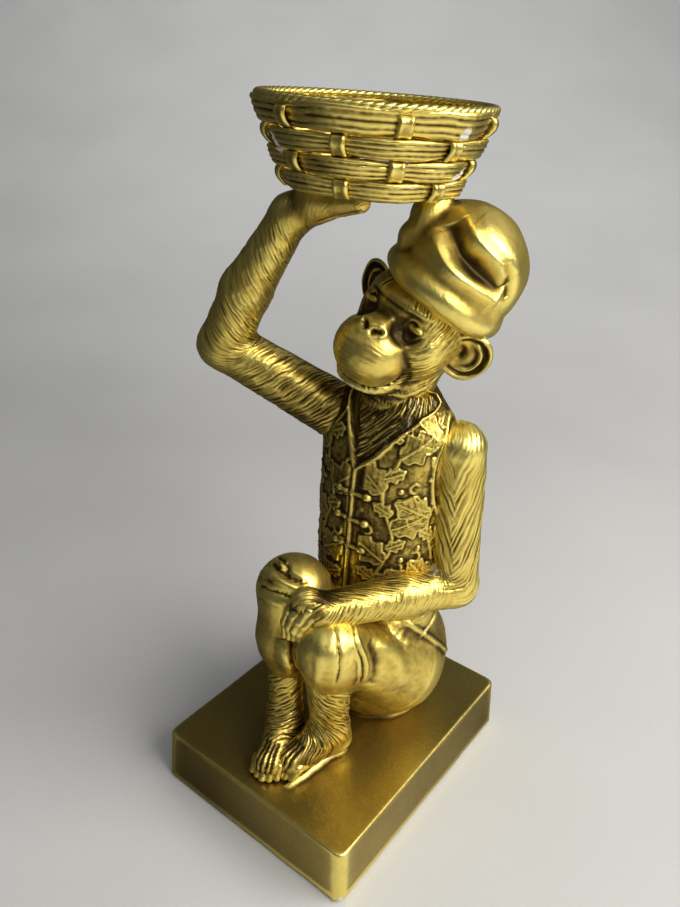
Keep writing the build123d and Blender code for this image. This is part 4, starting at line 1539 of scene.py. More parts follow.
    def build(self) -> Casting:
        """Carry ellipses up the stations and raise the waistcoat, fur, piping and toggles on them.

        Returns:
            The casting.
        """
        z, middle, wide, deep = through(self.stations, self.rows).T[..., None]
        bearing = np.linspace(-math.pi, math.pi, self.columns, endpoint=False)[None, :]
        x = JOINTS.waist[0] + wide * np.sin(bearing)
        y = middle - deep * np.cos(bearing)
        skin = Skin(np.stack([x, y, np.broadcast_to(z, x.shape)], -1))
        points = skin.points
        high = points[..., 2]
        s = bearing * self.unroll * np.ones_like(high)
        level, right, left = np.array(self.neck).T
        edge = 0.75 * np.maximum(s - np.interp(high, level, left), np.interp(high, level, right) - s)
        low = level[0]
        open_neck = ease(-0.5, 0.4, -edge) * (high > low)
        mid, radii = self.armhole_middle, self.armhole_radii
        arm = np.hypot((np.abs(s) - mid[0]) / radii[0], (high - mid[1]) / radii[1])
        cloth = (1 - open_neck) * ease(1.02, 1.12, arm) * ease(self.hem, self.hem + 2, high)
        cloth = cloth * (1 - ease(164, 169, high)) * ease(2.2, 3.6, np.abs(s))
        grit = 0.05 * noise(points, 0.9, 42) + 0.12 * noise(points, 2.2, 43)
        relief = self.relief(s, high) * cloth
        fur = self.chest.height(-high, s + 0.25 * (high - low), (-24.0, -52.0), points)
        height = self.leaf_height * relief + grit * (1 - open_neck) + open_neck * (fur - 0.6)
        pipes = np.maximum.reduce([
            bell(edge / self.piping) * ease(low - 2, low, high),
            bell((s + 0.9) / 0.8) * (1 - ease(low - 1, low + 1, high)),
            0.9 * bell((arm - 1.0) * 15 / self.piping),
            0.8 * bell((high - self.hem) / 1.1),
        ])
        slit = bell((s + 2.2) / 0.35) * (high < low)
        skin = skin.raised(self.toggled(height + self.piping_height * pipes - 0.6 * slit, s, high))
        # Painted shade, darker on the figure's right, away from the window lamp, and low on the front and
        # the right side.
        shade = ease(-2.0, -30.0, s) + 0.7 * (1 - ease(90, 118, high)) * ease(30.0, 8.0, s)
        skin.wash_and_shade = 0.18 + 0.16 * ease(158, 166, high) - 0.02 * ease(0.2, 0.6, relief) + 0.12 * open_neck
        skin.wash_and_shade = skin.wash_and_shade + 0.16 * shade + 0.14 * noise(points, 14.0, 44)
        skin.chalk = 0.32 * open_neck * patches(points, 5.0, 45, 0.0, 0.6) + 0.3 * bell((high - 84) / 2.5)
        return Casting("waistcoat_casting", skin)


@dataclass
class Arm:
    """A furry arm: cones from the shoulder over elbow, forearm and wrist to the hand and its tip.

    Attributes:
        joints: Shoulder, elbow, middle of the forearm, wrist, hand and tip.
        radii: Radius at each joint.
        start: Where the path inside the arm starts.
        elbow_shift, wrist_shift: How far the path lies from the elbow and the wrist.
        facing: Direction of the first column.
        part: Angle of the column where the fur parts.
        columns: Columns of the finished skin.
        change: Lengths along the arm between which the forearm's fur takes over.
        coats: Fur of the upper arm and of the forearm.
        slants: Angles of the hair of both, on both sides of the parting.
    """

    joints: Sequence[Point]
    radii: Sequence[float]
    start: Point
    elbow_shift: Point
    wrist_shift: Point
    facing: Point
    part: float
    columns: int
    change: Pair
    coats: tuple[Coat, Coat]
    slants: tuple[Pair, Pair]

    def skin(self) -> Skin:
        """The smooth arm."""
        shoulder, elbow, _, wrist, hand, tip = self.joints
        path = [
            self.start,
            *(between(shoulder, elbow, share) for share in (0.3, 0.62, 0.86)),
            shifted(elbow, *self.elbow_shift),
            *(between(elbow, wrist, share) for share in (0.18, 0.45, 0.75)),
            shifted(wrist, *self.wrist_shift),
            hand,
            tip,
        ]
        form = Form(chain(self.joints, self.radii), 3.0)
        return drawn(limb_rays(path, self.facing, 110, 56), form, 26.0, 470, self.columns)

    def hair(self, points: Array) -> tuple[Array, Array, Array, Array]:
        """Fur of the upper arm, which gives way to the forearm's.

        Args:
            points: Places on the smooth arm.

        Returns:
            Height of the fur, length along the arm, length round it, and the forearm's share.
        """
        fall, side = limb_lengths(points, self.part)
        share = ease(*self.change, fall)
        upper, lower = (coat.height(fall, side, pair, points) for coat, pair in zip(self.coats, self.slants))
        return upper * (1 - share) + lower * share, fall, side, share


@dataclass
class RestingArm:
    """The left arm, which lies across the knees with its fingers hanging between them."""

    hand_back: Point = (0.7, -27.1, 100.5)
    hand_end: Point = (-2.4, -30.8, 91.5)
    radii: Sequence[float] = (10.2, 9.0, 8.4, 6.8, 5.2, 3.4)
    facing: Point = (0.84, -0.52, 0.13)
    coats: tuple[Coat, Coat] = (
        Coat(pitch=1.5, length=16.0, depth=0.5, wave=0.4, seed=51),
        Coat(pitch=1.1, length=6.0, depth=0.36, wave=0.4, seed=57),
    )
    slants: tuple[Pair, Pair] = ((-24.0, -20.0), (64.0, 26.0))
    fingers: int = 4
    finger_radii: Sequence[float] = (0.85, 1.785, 1.87, 1.7, 1.36)
    finger_arch: Point = (0.9, -1.4, 0.9)
    outer_finger: Sequence[Point] = (
        (1.4, -24.6, 102.6),
        (-0.8, -27.7, 102.4),
        (-3.9, -30.9, 96.7),
        (-5.3, -32, 91),
        (-5.1, -32.2, 85),
    )
    inner_finger: Sequence[Point] = (
        (7.6, -26.2, 99.4),
        (6.5, -29.4, 97.9),
        (4.1, -31.6, 93.9),
        (2.4, -32.4, 90.2),
        (1.8, -32.2, 86.9),
    )
    bare_spot: Point = (30, 16, 105)

    def arm(self) -> Arm:
        """The arm without its fingers."""
        shoulder, elbow, wrist = JOINTS.left_shoulder, JOINTS.left_elbow, JOINTS.left_wrist
        joints = (shoulder, elbow, between(elbow, wrist, 0.4), wrist, self.hand_back, self.hand_end)
        return Arm(
            joints=joints,
            radii=self.radii,
            start=shifted(shoulder, -1, 0, -3),
            elbow_shift=(-2.5, -3, 3),
            wrist_shift=(0, 0, 0),
            facing=self.facing,
            part=0.6,
            columns=180,
            change=(60, 76),
            coats=self.coats,
            slants=self.slants,
        )

    def finger_skins(self) -> list[Skin]:
        """Long fingers side by side, on curves between the outer finger's and the inner one's."""
        skins = []
        for share in np.linspace(0, 1, self.fingers):
            path = np.asarray(self.outer_finger) * (1 - share) + np.asarray(self.inner_finger) * share
            path = path + 4 * share * (1 - share) * np.asarray(self.finger_arch)
            finger = digit(path, Form(chain(path, self.finger_radii), 1.4), self.facing, 26, 90)
            finger = finger.raised(0.08 * noise(finger.points, 1.8, 55))
            finger.wash_and_shade = 0.58
            skins.append(finger)
        return skins

    def build(self) -> Casting:
        """Draw the arm, carve its fur and add the fingers.

        Returns:
            The casting.
        """
        skin = self.arm().skin()
        points = skin.points
        hair, fall, side, share = self.arm().hair(points)
        skin = skin.raised(hair)
        # Painted shade on the upper side of the forearm.
        top = ease(0.0, 3.0, side) * share
        skin.wash_and_shade = 0.02 + 0.1 * (1 - share) + 0.14 * noise(points, 12.0, 54)
        skin.wash_and_shade = skin.wash_and_shade + 0.3 * top + 0.5 * ease(106, 120, fall)
        skin.chalk = 0.5 * np.exp(-gap_squared(points, self.bare_spot) / 60)
        return Casting("resting_arm_casting", skin, *self.finger_skins())


@dataclass
class RaisedArm:
    """The right arm, bent up with its flat hand under the basket."""

    radii: Sequence[float] = (11.2, 9.6, 9.2, 6.8, 6.6, 3.6)
    bow: float = 2.5
    facing: Point = (0.15, -1.0, 0.2)
    slants: tuple[Pair, Pair] = ((58.0, -60.0), (57.0, -57.0))
    coat: Coat = Coat(pitch=1.35, length=7.0, depth=0.45, wave=0.35, seed=61)
    finger_gap: float = 3.2

    def arm(self) -> Arm:
        """The arm without the grooves of its hand."""
        shoulder, elbow, wrist = JOINTS.right_shoulder, JOINTS.right_elbow, JOINTS.right_wrist
        middle = shifted(between(elbow, wrist, 0.45), -self.bow, 0, 0)
        joints = (shoulder, elbow, middle, wrist, JOINTS.palm, JOINTS.fingertip)
        return Arm(
            joints=joints,
            radii=self.radii,
            start=between(shoulder, elbow, -0.12),
            elbow_shift=(4, 1, 2),
            wrist_shift=(0.5, 0, -1),
            facing=self.facing,
            part=-1.15,
            columns=186,
            change=(46, 62),
            coats=(self.coat, self.coat),
            slants=self.slants,
        )

    def finger_grooves(self) -> list[Stroke]:
        """Three grooves under the hand, between its fingers."""
        palm, tip = JOINTS.palm, JOINTS.fingertip
        grooves = []
        for side in (-self.finger_gap, 0.0, self.finger_gap):
            path = [shifted(palm, 3, side, -6), shifted(tip, -5, side, -5), shifted(tip, 2, 0.8 * side, -3)]
            grooves.append(Stroke(path, 0.7, -0.8))
        return grooves

    def build(self) -> Casting:
        """Draw the arm, carve its fur and the grooves between the fingers.

        Returns:
            The casting.
        """
        skin = self.arm().skin()
        points = skin.points
        hair, fall, _, _ = self.arm().hair(points)
        hand = ease(112, 122, fall)
        skin = skin.raised(hair * (1 - 0.8 * hand) * ease(0.0, 2.0, JOINTS.below_basket(points)))
        skin = skin.carved(self.finger_grooves())
        skin.points = JOINTS.under_basket(skin.points)
        # Painted shade on the upper arm near the chest, under the head.
        armpit_shade = 1 - ease(16, 54, fall)
        skin.wash_and_shade = 0.05 + 0.14 * noise(points, 12.0, 64) + 0.12 * hand + 0.44 * armpit_shade
        return Casting("raised_arm_casting", skin)


@dataclass
class Head:
    """The head: skull, brow, muzzle and jaw with carved fur, eyes, and two cupped ears.

    Radii and places are along the head's left, back and up. Pairs are for the right ear and the left one.
    """

    skull: Point = (20.8, 21.0, 21.0)
    muzzle: Point = (14.0, 14.4, 12.6)
    muzzle_place: Point = (-0.5, -20, -8.4)
    jaw: Point = (11.5, 11.0, 6.6)
    jaw_place: Point = (0, -18.0, -17.5)
    brow: Point = (13.5, 5.0, 3.2)
    brow_place: Point = (0, -12.4, 10.4)
    cheek: Point = (7.0, 7.5, 8.5)
    cheek_place: Point = (13.5, -9.5, -3.0)
    right_cheek: float = 0.8
    nose: Point = (4.2, 3.4, 2.8)
    nose_place: Point = (1.2, -24.4, 2.4)
    socket: Point = (5.8, 5.2, 5.8)
    socket_place: Point = (10.8, -21.2, 5.6)
    softness: float = 4.6
    eye: Point = (3.3, 1.4, 1.35)
    eye_place: Point = (10.8, -16.2, 5.5)
    eye_front: float = -19.5
    mouth: Sequence[Point] = (
        (-12, -19, -16),
        (-7, -27.5, -18),
        (0, -30.5, -18.5),
        (6, -27.5, -18.4),
        (11, -20.5, -16.4),
        (12.5, -17, -12.5),
    )
    neck_radius: float = 13.5
    ear_radius: float = 9.2
    ear_out: float = 23.8
    ear_places: tuple[Pair, Pair] = ((1.5, 0.5), (1.5, -2.0))
    ear_flares: Pair = (70.0, 38.0)
    rays_from: Point = (0, -6, -3)
    fur_from: Point = (1.5, -24.0, 1.0)
    coat: Coat = Coat(pitch=1.05, length=8.0, depth=0.42, wave=0.45, seed=71)

    def egg(self, place: Point, radii: Point, side: float = 1.0) -> Egg:
        """An egg at a place on the head, or mirrored to the other side."""
        return Egg(JOINTS.on_head(side * place[0], *place[1:]), radii, JOINTS.head_axes())

    def form(self) -> Form:
        """All the head's swellings as one form, less the eye sockets."""
        solids: list[Solid] = [
            Egg(JOINTS.head, self.skull, JOINTS.head_axes()),
            Cone(JOINTS.neck, JOINTS.head, self.neck_radius, self.neck_radius),
            self.egg(self.muzzle_place, self.muzzle),
            self.egg(self.jaw_place, self.jaw),
            self.egg(self.brow_place, self.brow),
            self.egg(self.nose_place, self.nose),
        ]
        for side, size in zip(SIDES, (self.right_cheek, 1.0)):
            cheek = tuple(size * radius for radius in self.cheek)
            solids.append(self.egg(self.cheek_place, cheek, side * size))
        sockets = [self.egg(self.socket_place, self.socket, side) for side in SIDES]
        return Form(solids, self.softness, sockets)

    def lower_lip(self) -> Stroke:
        """The lower lip, a little below the mouth."""
        return Stroke([JOINTS.on_head(x, y + 0.5, z - 2.8) for x, y, z in self.mouth[:-1]], 1.2, 1.0, 0.4)

    def features(self) -> list[Stroke]:
        """Mouth, lips, nostrils, lids and the wrinkle of the brow."""
        wrinkle = ((-13, -15, 9.6), (0, -19.5, 10.2), (13, -15, 9.6))
        lines = [(self.mouth, 0.9, -2.0, 0.6), (wrinkle, 1.0, -0.4, 0.0)]
        x, y, z = self.nose_place
        for side in SIDES:
            nostril = ((x + side * 1.5, y - 3.0, z - 0.6), (x + side * 3.2, y - 2.0, z))
            rim = (
                (x + side * 2.4, y - 2, z + 1.8),
                (x + side * 4.8, y - 1, z + 0.2),
                (x + side * 3.4, y - 2, z - 2),
            )
            left_crease = ((7.5, -22, 3), (12, -18.5, -4), (14.8, -14, -11), (13, -14, -16))
            crease = [(side * out, back, up) for out, back, up in left_crease]
            lines += [(nostril, 1.0, -2.2, 1.0), (rim, 0.8, 0.5, 0.0), (crease, 1.0, -0.25, 0.3)]
            ex, ey, ez = side * self.eye_place[0], *self.eye_place[1:]
            for reach, width, height in ((4.1, 0.6, 0.15), (5.6, 0.7, -0.2)):
                lower = ((ex - reach, ey - 1, ez), (ex, ey - 3, ez - 0.8 * reach), (ex + reach, ey + 1, ez))
                lines.append((lower, width, height, 0.0))
            upper = ((ex - 3.7, ey - 2, ez - 0.3), (ex, ey - 3, ez + 2.4), (ex + 3.7, ey, ez - 0.3))
            lines.append((upper, 0.7, 0.3, 0.3))
        strokes = [Stroke([JOINTS.on_head(*place) for place in line], *sizes) for line, *sizes in lines]
        return [*strokes, self.lower_lip()]

    def ear_skin(self, side: int) -> Skin:
        """A cupped ear: rows run from the middle of the cup over the rolled rim to the back.

        Args:
            side: 1 for the left ear and -1 for the right one.

        Returns:
            The ear's skin.
        """
        share = np.linspace(0.03, 1.94, 110)[:, None]
        angle = angles(120)[None, :]
        front = np.clip(share, 0, 1)
        back = np.clip(share - 1, 0, 1)
        round_out = 1 + 0.06 * np.cos(angle - 0.6) + 0.04 * np.cos(2 * angle - 2.2)
        radius = self.ear_radius * np.where(share < 1, front, 1 - back) * round_out
        open_side = 0.5 + 0.5 * np.cos(angle - math.pi)
        rim = bell((share - 0.88) / 0.13) * (1 - open_side**1.5)
        inner = bell((share - 0.57) / 0.10) * ease(-0.2, 0.6, np.cos(angle + 0.3))
        wide_at, high_at = radius * np.cos(angle), radius * np.sin(angle)
        hole = np.exp(-((wide_at + 1.6) ** 2 + (high_at - 1.0) ** 2) / 6.5)
        groove = bell((share - 0.73) / 0.08) * (1 - open_side)
        cup = 1.9 * rim + 1.2 * inner - 2.6 * hole - 0.9 * groove - 1.0 * (1 - front**2)
        depth = np.where(share < 1, cup, 1.9 * rim - 3.4 * np.sin(back * math.pi / 2) ** 0.8)
        depth = depth - 2.6 * open_side**2 * front
        flare = math.radians(self.ear_flares[side > 0])
        facing = np.array([side * math.cos(flare), -math.sin(flare), 0.0])
        wide = np.array([side * math.sin(flare), math.cos(flare), 0.0])
        local = wide_at[..., None] * wide + high_at[..., None] * UP + depth[..., None] * facing
        middle = np.asarray(JOINTS.on_head(side * self.ear_out, *self.ear_places[side > 0]))
        skin = Skin(middle + local @ JOINTS.head_axes().T)
        skin = skin.raised(0.15 * noise(skin.points, 2.4, 76) * (share < 1.2))
        # The right ear, on the side away from the window lamp, gets a painted shade on top of the wash.
        skin.wash_and_shade = np.where(share < 1, 0.12 + 0.45 * hole + 0.3 * groove, 0.1) + 0.2 * (1 - side)
        return skin

    def eye_skin(self, side: int) -> Skin:
        """An almond of an eye, on the left side for 1 and on the right one for -1."""
        lid = self.egg(self.eye_place, self.eye, side)
        rays = globe_rays(lid.middle, JOINTS.head_axes(), 40, 48)
        return Skin(rays.at(rays.meet(Form([lid], 1.0), 6.0, 20)), wash_and_shade=0.66)

    def build(self) -> Casting:
        """Draw the head from a point behind the muzzle, carve fur and features, and add eyes and ears.

        Returns:
            The casting.
        """
        axes = JOINTS.head_axes()
        rays = globe_rays(JOINTS.on_head(*self.rays_from), axes, 120, 150, 0.45)
        skin = drawn(rays, self.form(), 46.0, 222, 304, 60)
        points = skin.points
        local = (points - np.asarray(JOINTS.head)) @ axes
        left, back, up = np.moveaxis(local, -1, 0)
        from_muzzle = Egg(self.muzzle_place, self.muzzle).distance(local)
        fronts = [(side * self.eye_place[0], self.eye_front, self.eye_place[2]) for side in SIDES]
        eyes = np.sqrt(np.minimum(*(gap_squared(local, front) for front in fronts)))
        bridge = (1 - ease(4, 7, np.abs(left))) * ease(-4, 0, up) * (back < 0)
        bare = np.maximum.reduce([1 - ease(0.3, 2.2, from_muzzle), 1 - ease(6.2, 8.2, eyes), bridge])
        spread = np.arctan2(left - self.fur_from[0], up - self.fur_from[2]) * 15.0
        outward = np.sqrt(gap_squared(local, self.fur_from))
        fur = self.coat.height(outward, spread, (-46.0, -46.0), points) + 0.1 * noise(points, 1.6, 80)
        lines = np.arctan2(up + 8, -(back + 16)) * 14
        fine = 0.07 * np.sin(TURN * (lines / 1.3 + 0.5 * noise(points, 6.0, 78)))
        fine = fine * patches(points, 5.0, 75, -0.2, 0.5)
        muzzle_only = (1 - ease(0.2, 1.2, from_muzzle)) * ease(-16.5, -15.0, up)
        skin = skin.raised(fur * (1 - bare) + fine * muzzle_only + 0.1 * noise(points, 2.5, 79) * bare)
        skin = skin.carved(self.features())
        skin.wash_and_shade = 0.13 + 0.1 * noise(points, 10.0, 77) + 0.36 * (1 - ease(4.4, 8.0, eyes))
        neck = 0.3 * bell((points[..., 2] - 171) / 2.0) * patches(points, 4.0, 74, -0.2, 0.4)
        skin.chalk = neck + 0.5 * self.lower_lip().lift(skin)
        casting = Casting("head_casting", skin)
        for side in SIDES:
            casting.skins += [self.eye_skin(side), self.ear_skin(side)]
        return casting


@dataclass
class Cap:
    """The baggy cap: a puffed crown with deep folds over a rolled band.

    Radii and places are along the cap's left, back and up. A fold is its points, width, height and ends.
    """

    crown: Point = (22.8, 23.2, 23.0)
    crown_place: Point = (2.8, 0.5, -1.0)
    nub: Point = (7.0, 8.0, 13.0)
    nub_place: Point = (-10.2, -14.2, 6.0)
    band_ring: float = 18.9
    band_radius: float = 5.2
    band_place: Point = (2.0, 0.0, -10.6)
    band_roll: float = 8.0
    softness: float = 2.6
    rays_from: Point = (2, 0, -2)
    folds: Sequence[tuple[Sequence[Point], float, float, float]] = (
        (((1.5, -22, 12), (9, -21.8, 7), (15.5, -18.8, 4), (23.8, -8.4, 0.4)), 4.9, -5.2, 0.2),
        (((0, -25, 5), (11, -22, -0.6), (19.6, -15.4, -2.0), (24.2, -7, -3)), 2.4, 2.0, 0.3),
        (((10, -17, 15), (18, -12, 12), (23.5, -5, 8)), 5.5, 1.8, 0.3),
        (((5, -18, 15), (12, -18.5, 10.5), (18, -14.5, 8), (23, -8, 5)), 1.8, 1.5, 0.2),
        (((22, -9, 8), (24, -6, 5), (25, -3, 0)), 1.8, -1.3, 0.1),
        (((-10, -22.5, 6), (-17, -18, 4), (-23, -10, 1)), 3.2, -1.8, 0.0),
        (((-20, 12, 8), (-12, 20, 2), (-2, 25, -2)), 3.4, -2.0, 0.0),
        (((4, 24, 8), (14, 20, 4), (22, 12, -2)), 3.4, -2.0, 0.0),
    )

    def build(self) -> Casting:
        """Draw the crown and band from the cap's middle and press the folds into them, the valley first.

        Returns:
            The casting.
        """
        axes = JOINTS.cap_axes()
        at = JOINTS.on_cap
        tilted = axes @ turned(0, self.band_roll, 0)
        ring = Ring(at(*self.band_place), tuple(tilted[:, 2]), self.band_ring, self.band_radius)
        crown = Egg(at(*self.crown_place), self.crown, axes)
        form = Form([crown, ring, Egg(at(*self.nub_place), self.nub, axes)], self.softness)
        rays = globe_rays(at(*self.rays_from), axes, 110, 140, 0.3)
        strokes = [Stroke([at(*place) for place in line], *sizes) for line, *sizes in self.folds]
        skin = Skin(rays.at(rays.meet(form, 40.0, 60))).finer(230, 330).carved(strokes)
        points = skin.points
        skin = skin.raised(0.45 * noise(points, 12.0, 81) + 0.06 * noise(points, 3.2, 82))
        skin.points = JOINTS.under_basket(skin.points)
        top = bell((points[..., 2] - JOINTS.basket[2]) / 4)
        skin = skin.raised(np.minimum(0.35 * noise(points, 1.5, 83) * top, 0.0))
        # Painted shade: darker on the top under the basket and along the deep front fold.
        deep = strokes[0].lift(skin) / strokes[0].height
        skin.wash_and_shade = 0.10 * noise(points, 14.0, 84) - 0.09 + 0.26 * top + 0.36 * deep
        skin.chalk = 0.35 * top * patches(points, 4.0, 85, 0.1, 0.6)
        return Casting("cap_casting", skin)


@dataclass
class Basket:
    """The woven bowl: reed rows, three-rib stakes that pass in and out, a rope border and a floor.

    Attributes:
        chips: Bearing and rise of each spot of bare resin.
    """

    bottom: float = 28.0
    rim: float = 38.0
    height: float = 24.6
    rows: int = 4
    stakes: int = 12
    wall: float = 2.6
    sway: float = 1.05
    swing: float = 2.05
    reeds: int = 4
    strands: int = 3
    twists: int = 26
    phase: float = 11.5
    border_lift: float = 1.9
    mat_pitch: float = 2.3
    chips: Sequence[Pair] = ((3.62, 14.5), (3.66, 12.0), (5.45, 20.5), (5.75, 8.0), (5.6, 7.0))

    def placed(self, radius: Array, bearing: Array, rise: Array) -> Array:
        """Points at a radius, bearing and rise about the basket's own axis."""
        local = np.stack(np.broadcast_arrays(radius * np.cos(bearing), radius * np.sin(bearing), rise), -1)
        return np.asarray(JOINTS.basket) + local @ JOINTS.basket_axes().T

    def wall_radius(self, rise: Array) -> Array:
        """Radius of the middle of the wall at a rise."""
        return self.bottom + (self.rim - self.bottom) * rise / self.height - self.wall / 2

    def row_skin(self, row: int) -> Skin:
        """A bundle of reeds: a flat oval carried round, with one ridge to a reed, pinched under the stakes.

        Args:
            row: Number of the row from below.

        Returns:
            The row's skin, closed both ways.
        """
        tall = self.height / self.rows
        around = angles(324)[:, None]
        turn = angles(52)[None, :]
        sway = -np.cos(self.stakes / 2 * (around - math.radians(self.phase))) * (-1) ** row
        pinch = 1 - 0.10 * np.clip(-sway, 0, 1)
        up = signed_power(np.sin(turn), 0.75)
        out = signed_power(np.cos(turn), 0.4)
        ring = np.stack([np.cos(around) * 30, np.sin(around) * 30, np.full_like(around, row * 9.0)], -1)
        wander = 0.22 * noise(ring, 11.0, 91 + row) + 0.05 * noise(ring, 3.0, 95 + row)
        ridge = np.abs(np.sin(math.pi * (self.reeds * (up + 1) / 2 + wander))) ** 0.7
        rise = (row + 0.5) * tall + up * (tall / 2 - 0.15) * pinch + 0.35 * noise(ring, 12.0, 99 + row)
        rise = rise + self.border_lift * (0.5 + 0.5 * up) * (row == self.rows - 1)
        radius = self.wall_radius(rise) + out * (1.15 + 0.5 * ridge * np.abs(out)) + self.sway * sway
        skin = Skin(self.placed(radius, around, rise), True)
        skin = skin.raised(0.08 * noise(skin.points, 1.4, 101))
        # Painted shade: darker along the edges of each row, in the gaps between the rows, and on the inside
        # of the bowl.
        edges = ease(0.7, 1.0, np.abs(up))
        skin.wash_and_shade = 0.06 + 0.14 * noise(skin.points, 12.0, 102) + 0.25 * (out < 0) + 0.4 * edges
        return skin

    def stake_skin(self, number: int) -> Skin:
        """Three ribs side by side, carried up the wall and swung out or in of each row.

        Args:
            number: Number of the stake around the basket.

        Returns:
            The stake's skin.
        """
        bearing = number * TURN / self.stakes + math.radians(self.phase)
        rise = np.linspace(0.2, self.height + 1.0, 80)[:, None]
        turn = angles(30)[None, :]
        swing = np.cos(math.pi * (rise / (self.height / self.rows) - 0.5)) * math.cos(math.pi * number)
        swing = signed_power(swing, 0.6)
        wide = signed_power(np.cos(turn), 0.6)
        rib = np.abs(np.sin(math.pi * 1.5 * (wide + 1)))
        across = wide * (2.5 - 0.25 * np.abs(swing))
        thick = signed_power(np.sin(turn), 0.7) * (0.45 + 0.55 * rib)
        wall = self.wall_radius(rise)
        skin = Skin(self.placed(wall + swing * self.swing + thick, bearing + across / wall, rise))
        skin = skin.raised(0.06 * noise(skin.points, 1.4, 103))
        skin.wash_and_shade = 0.12 + 0.14 * noise(skin.points, 9.0, 104)
        return skin

    def border_skins(self) -> list[Skin]:
        """Strands that twist round each other on the rim's circle."""
        skins = []
        around = angles(900)[:, None]
        turn = angles(12)[None, :]
        for strand in range(self.strands):
            lay = self.twists * around + strand * TURN / self.strands
            radius = self.rim - self.wall / 2 + (0.55 * np.cos(lay) + 1.2 * np.cos(turn))
            up = 0.35 * np.sin(lay) + 1.0 * np.sin(turn)
            skin = Skin(self.placed(radius, around, self.height + self.border_lift + up), True)
            skin.wash_and_shade = 0.2 + 0.14 * noise(skin.points, 8.0, 105)
            skins.append(skin)
        return skins

    def floor_skin(self) -> Skin:
        """A round mat: rings of reed that rise and fall over the stakes, on its top and its underside."""
        share = np.concatenate([np.linspace(0.02, 1, 64), np.linspace(1, 0.02, 40)])[:, None]
        top = np.repeat([True, False], [64, 40])[:, None]
        bearing = angles(240)[None, :]
        radius = share * (self.bottom - self.wall / 2)
        ridge = np.abs(np.sin(math.pi * radius / self.mat_pitch))
        wave = np.cos(self.stakes / 2 * bearing + math.pi * np.floor(radius / self.mat_pitch))
        rise = np.where(top, 2.6 + 0.5 * ridge + 0.35 * ridge * wave, 0.9 - 0.5 * ridge - 0.3 * ridge * wave)
        skin = Skin(self.placed(radius, bearing, rise))
        skin.wash_and_shade = 0.28 + 0.1 * noise(skin.points, 10.0, 106)
        return skin

    def build(self) -> list[Casting]:
        """Make the rows, stakes, border and floor.

        Returns:
            Two castings: the weave, and the border with the floor.
        """
        rows = [self.row_skin(row) for row in range(self.rows)]
        stakes = [self.stake_skin(number) for number in range(self.stakes)]
        weave = Casting("basket_weave", *rows, *stakes)
        spots = [self.placed(self.wall_radius(rise) + 2, bearing, rise) for bearing, rise in self.chips]
        for skin in weave.skins:
            skin.chalk = sum(np.exp(-gap_squared(skin.points, spot) / 5) for spot in spots)
        return [weave, Casting("basket_border", *self.border_skins(), self.floor_skin())]


@dataclass(frozen=True)
class Lamp:
    """An oblong lamp that looks at a target.

    Attributes:
        name: Name of the lamp.
        place: Its middle.
        size: Its width and height.
        power: Power in watts.
        colour: Colour of its light.
        target: What it looks at.
    """

    name: str
    place: Point
    size: Pair
    power: float
    colour: Colour
    target: Point = (0, 10, 140)

    def build(self) -> None:
        """Hang the lamp."""
        light = bpy.data.lights.new(self.name, "AREA")
        light.shape = "RECTANGLE"
        light.size = self.size[0] * MM
        light.size_y = self.size[1] * MM
        light.energy = self.power
        light.color = self.colour
        lamp = bpy.data.objects.new(self.name, light)
        lamp.location = Vector(self.place) * MM
        lamp.rotation_euler = (Vector(self.target) - Vector(self.place)).to_track_quat("-Z", "Y").to_euler()
        bpy.context.scene.collection.objects.link(lamp)


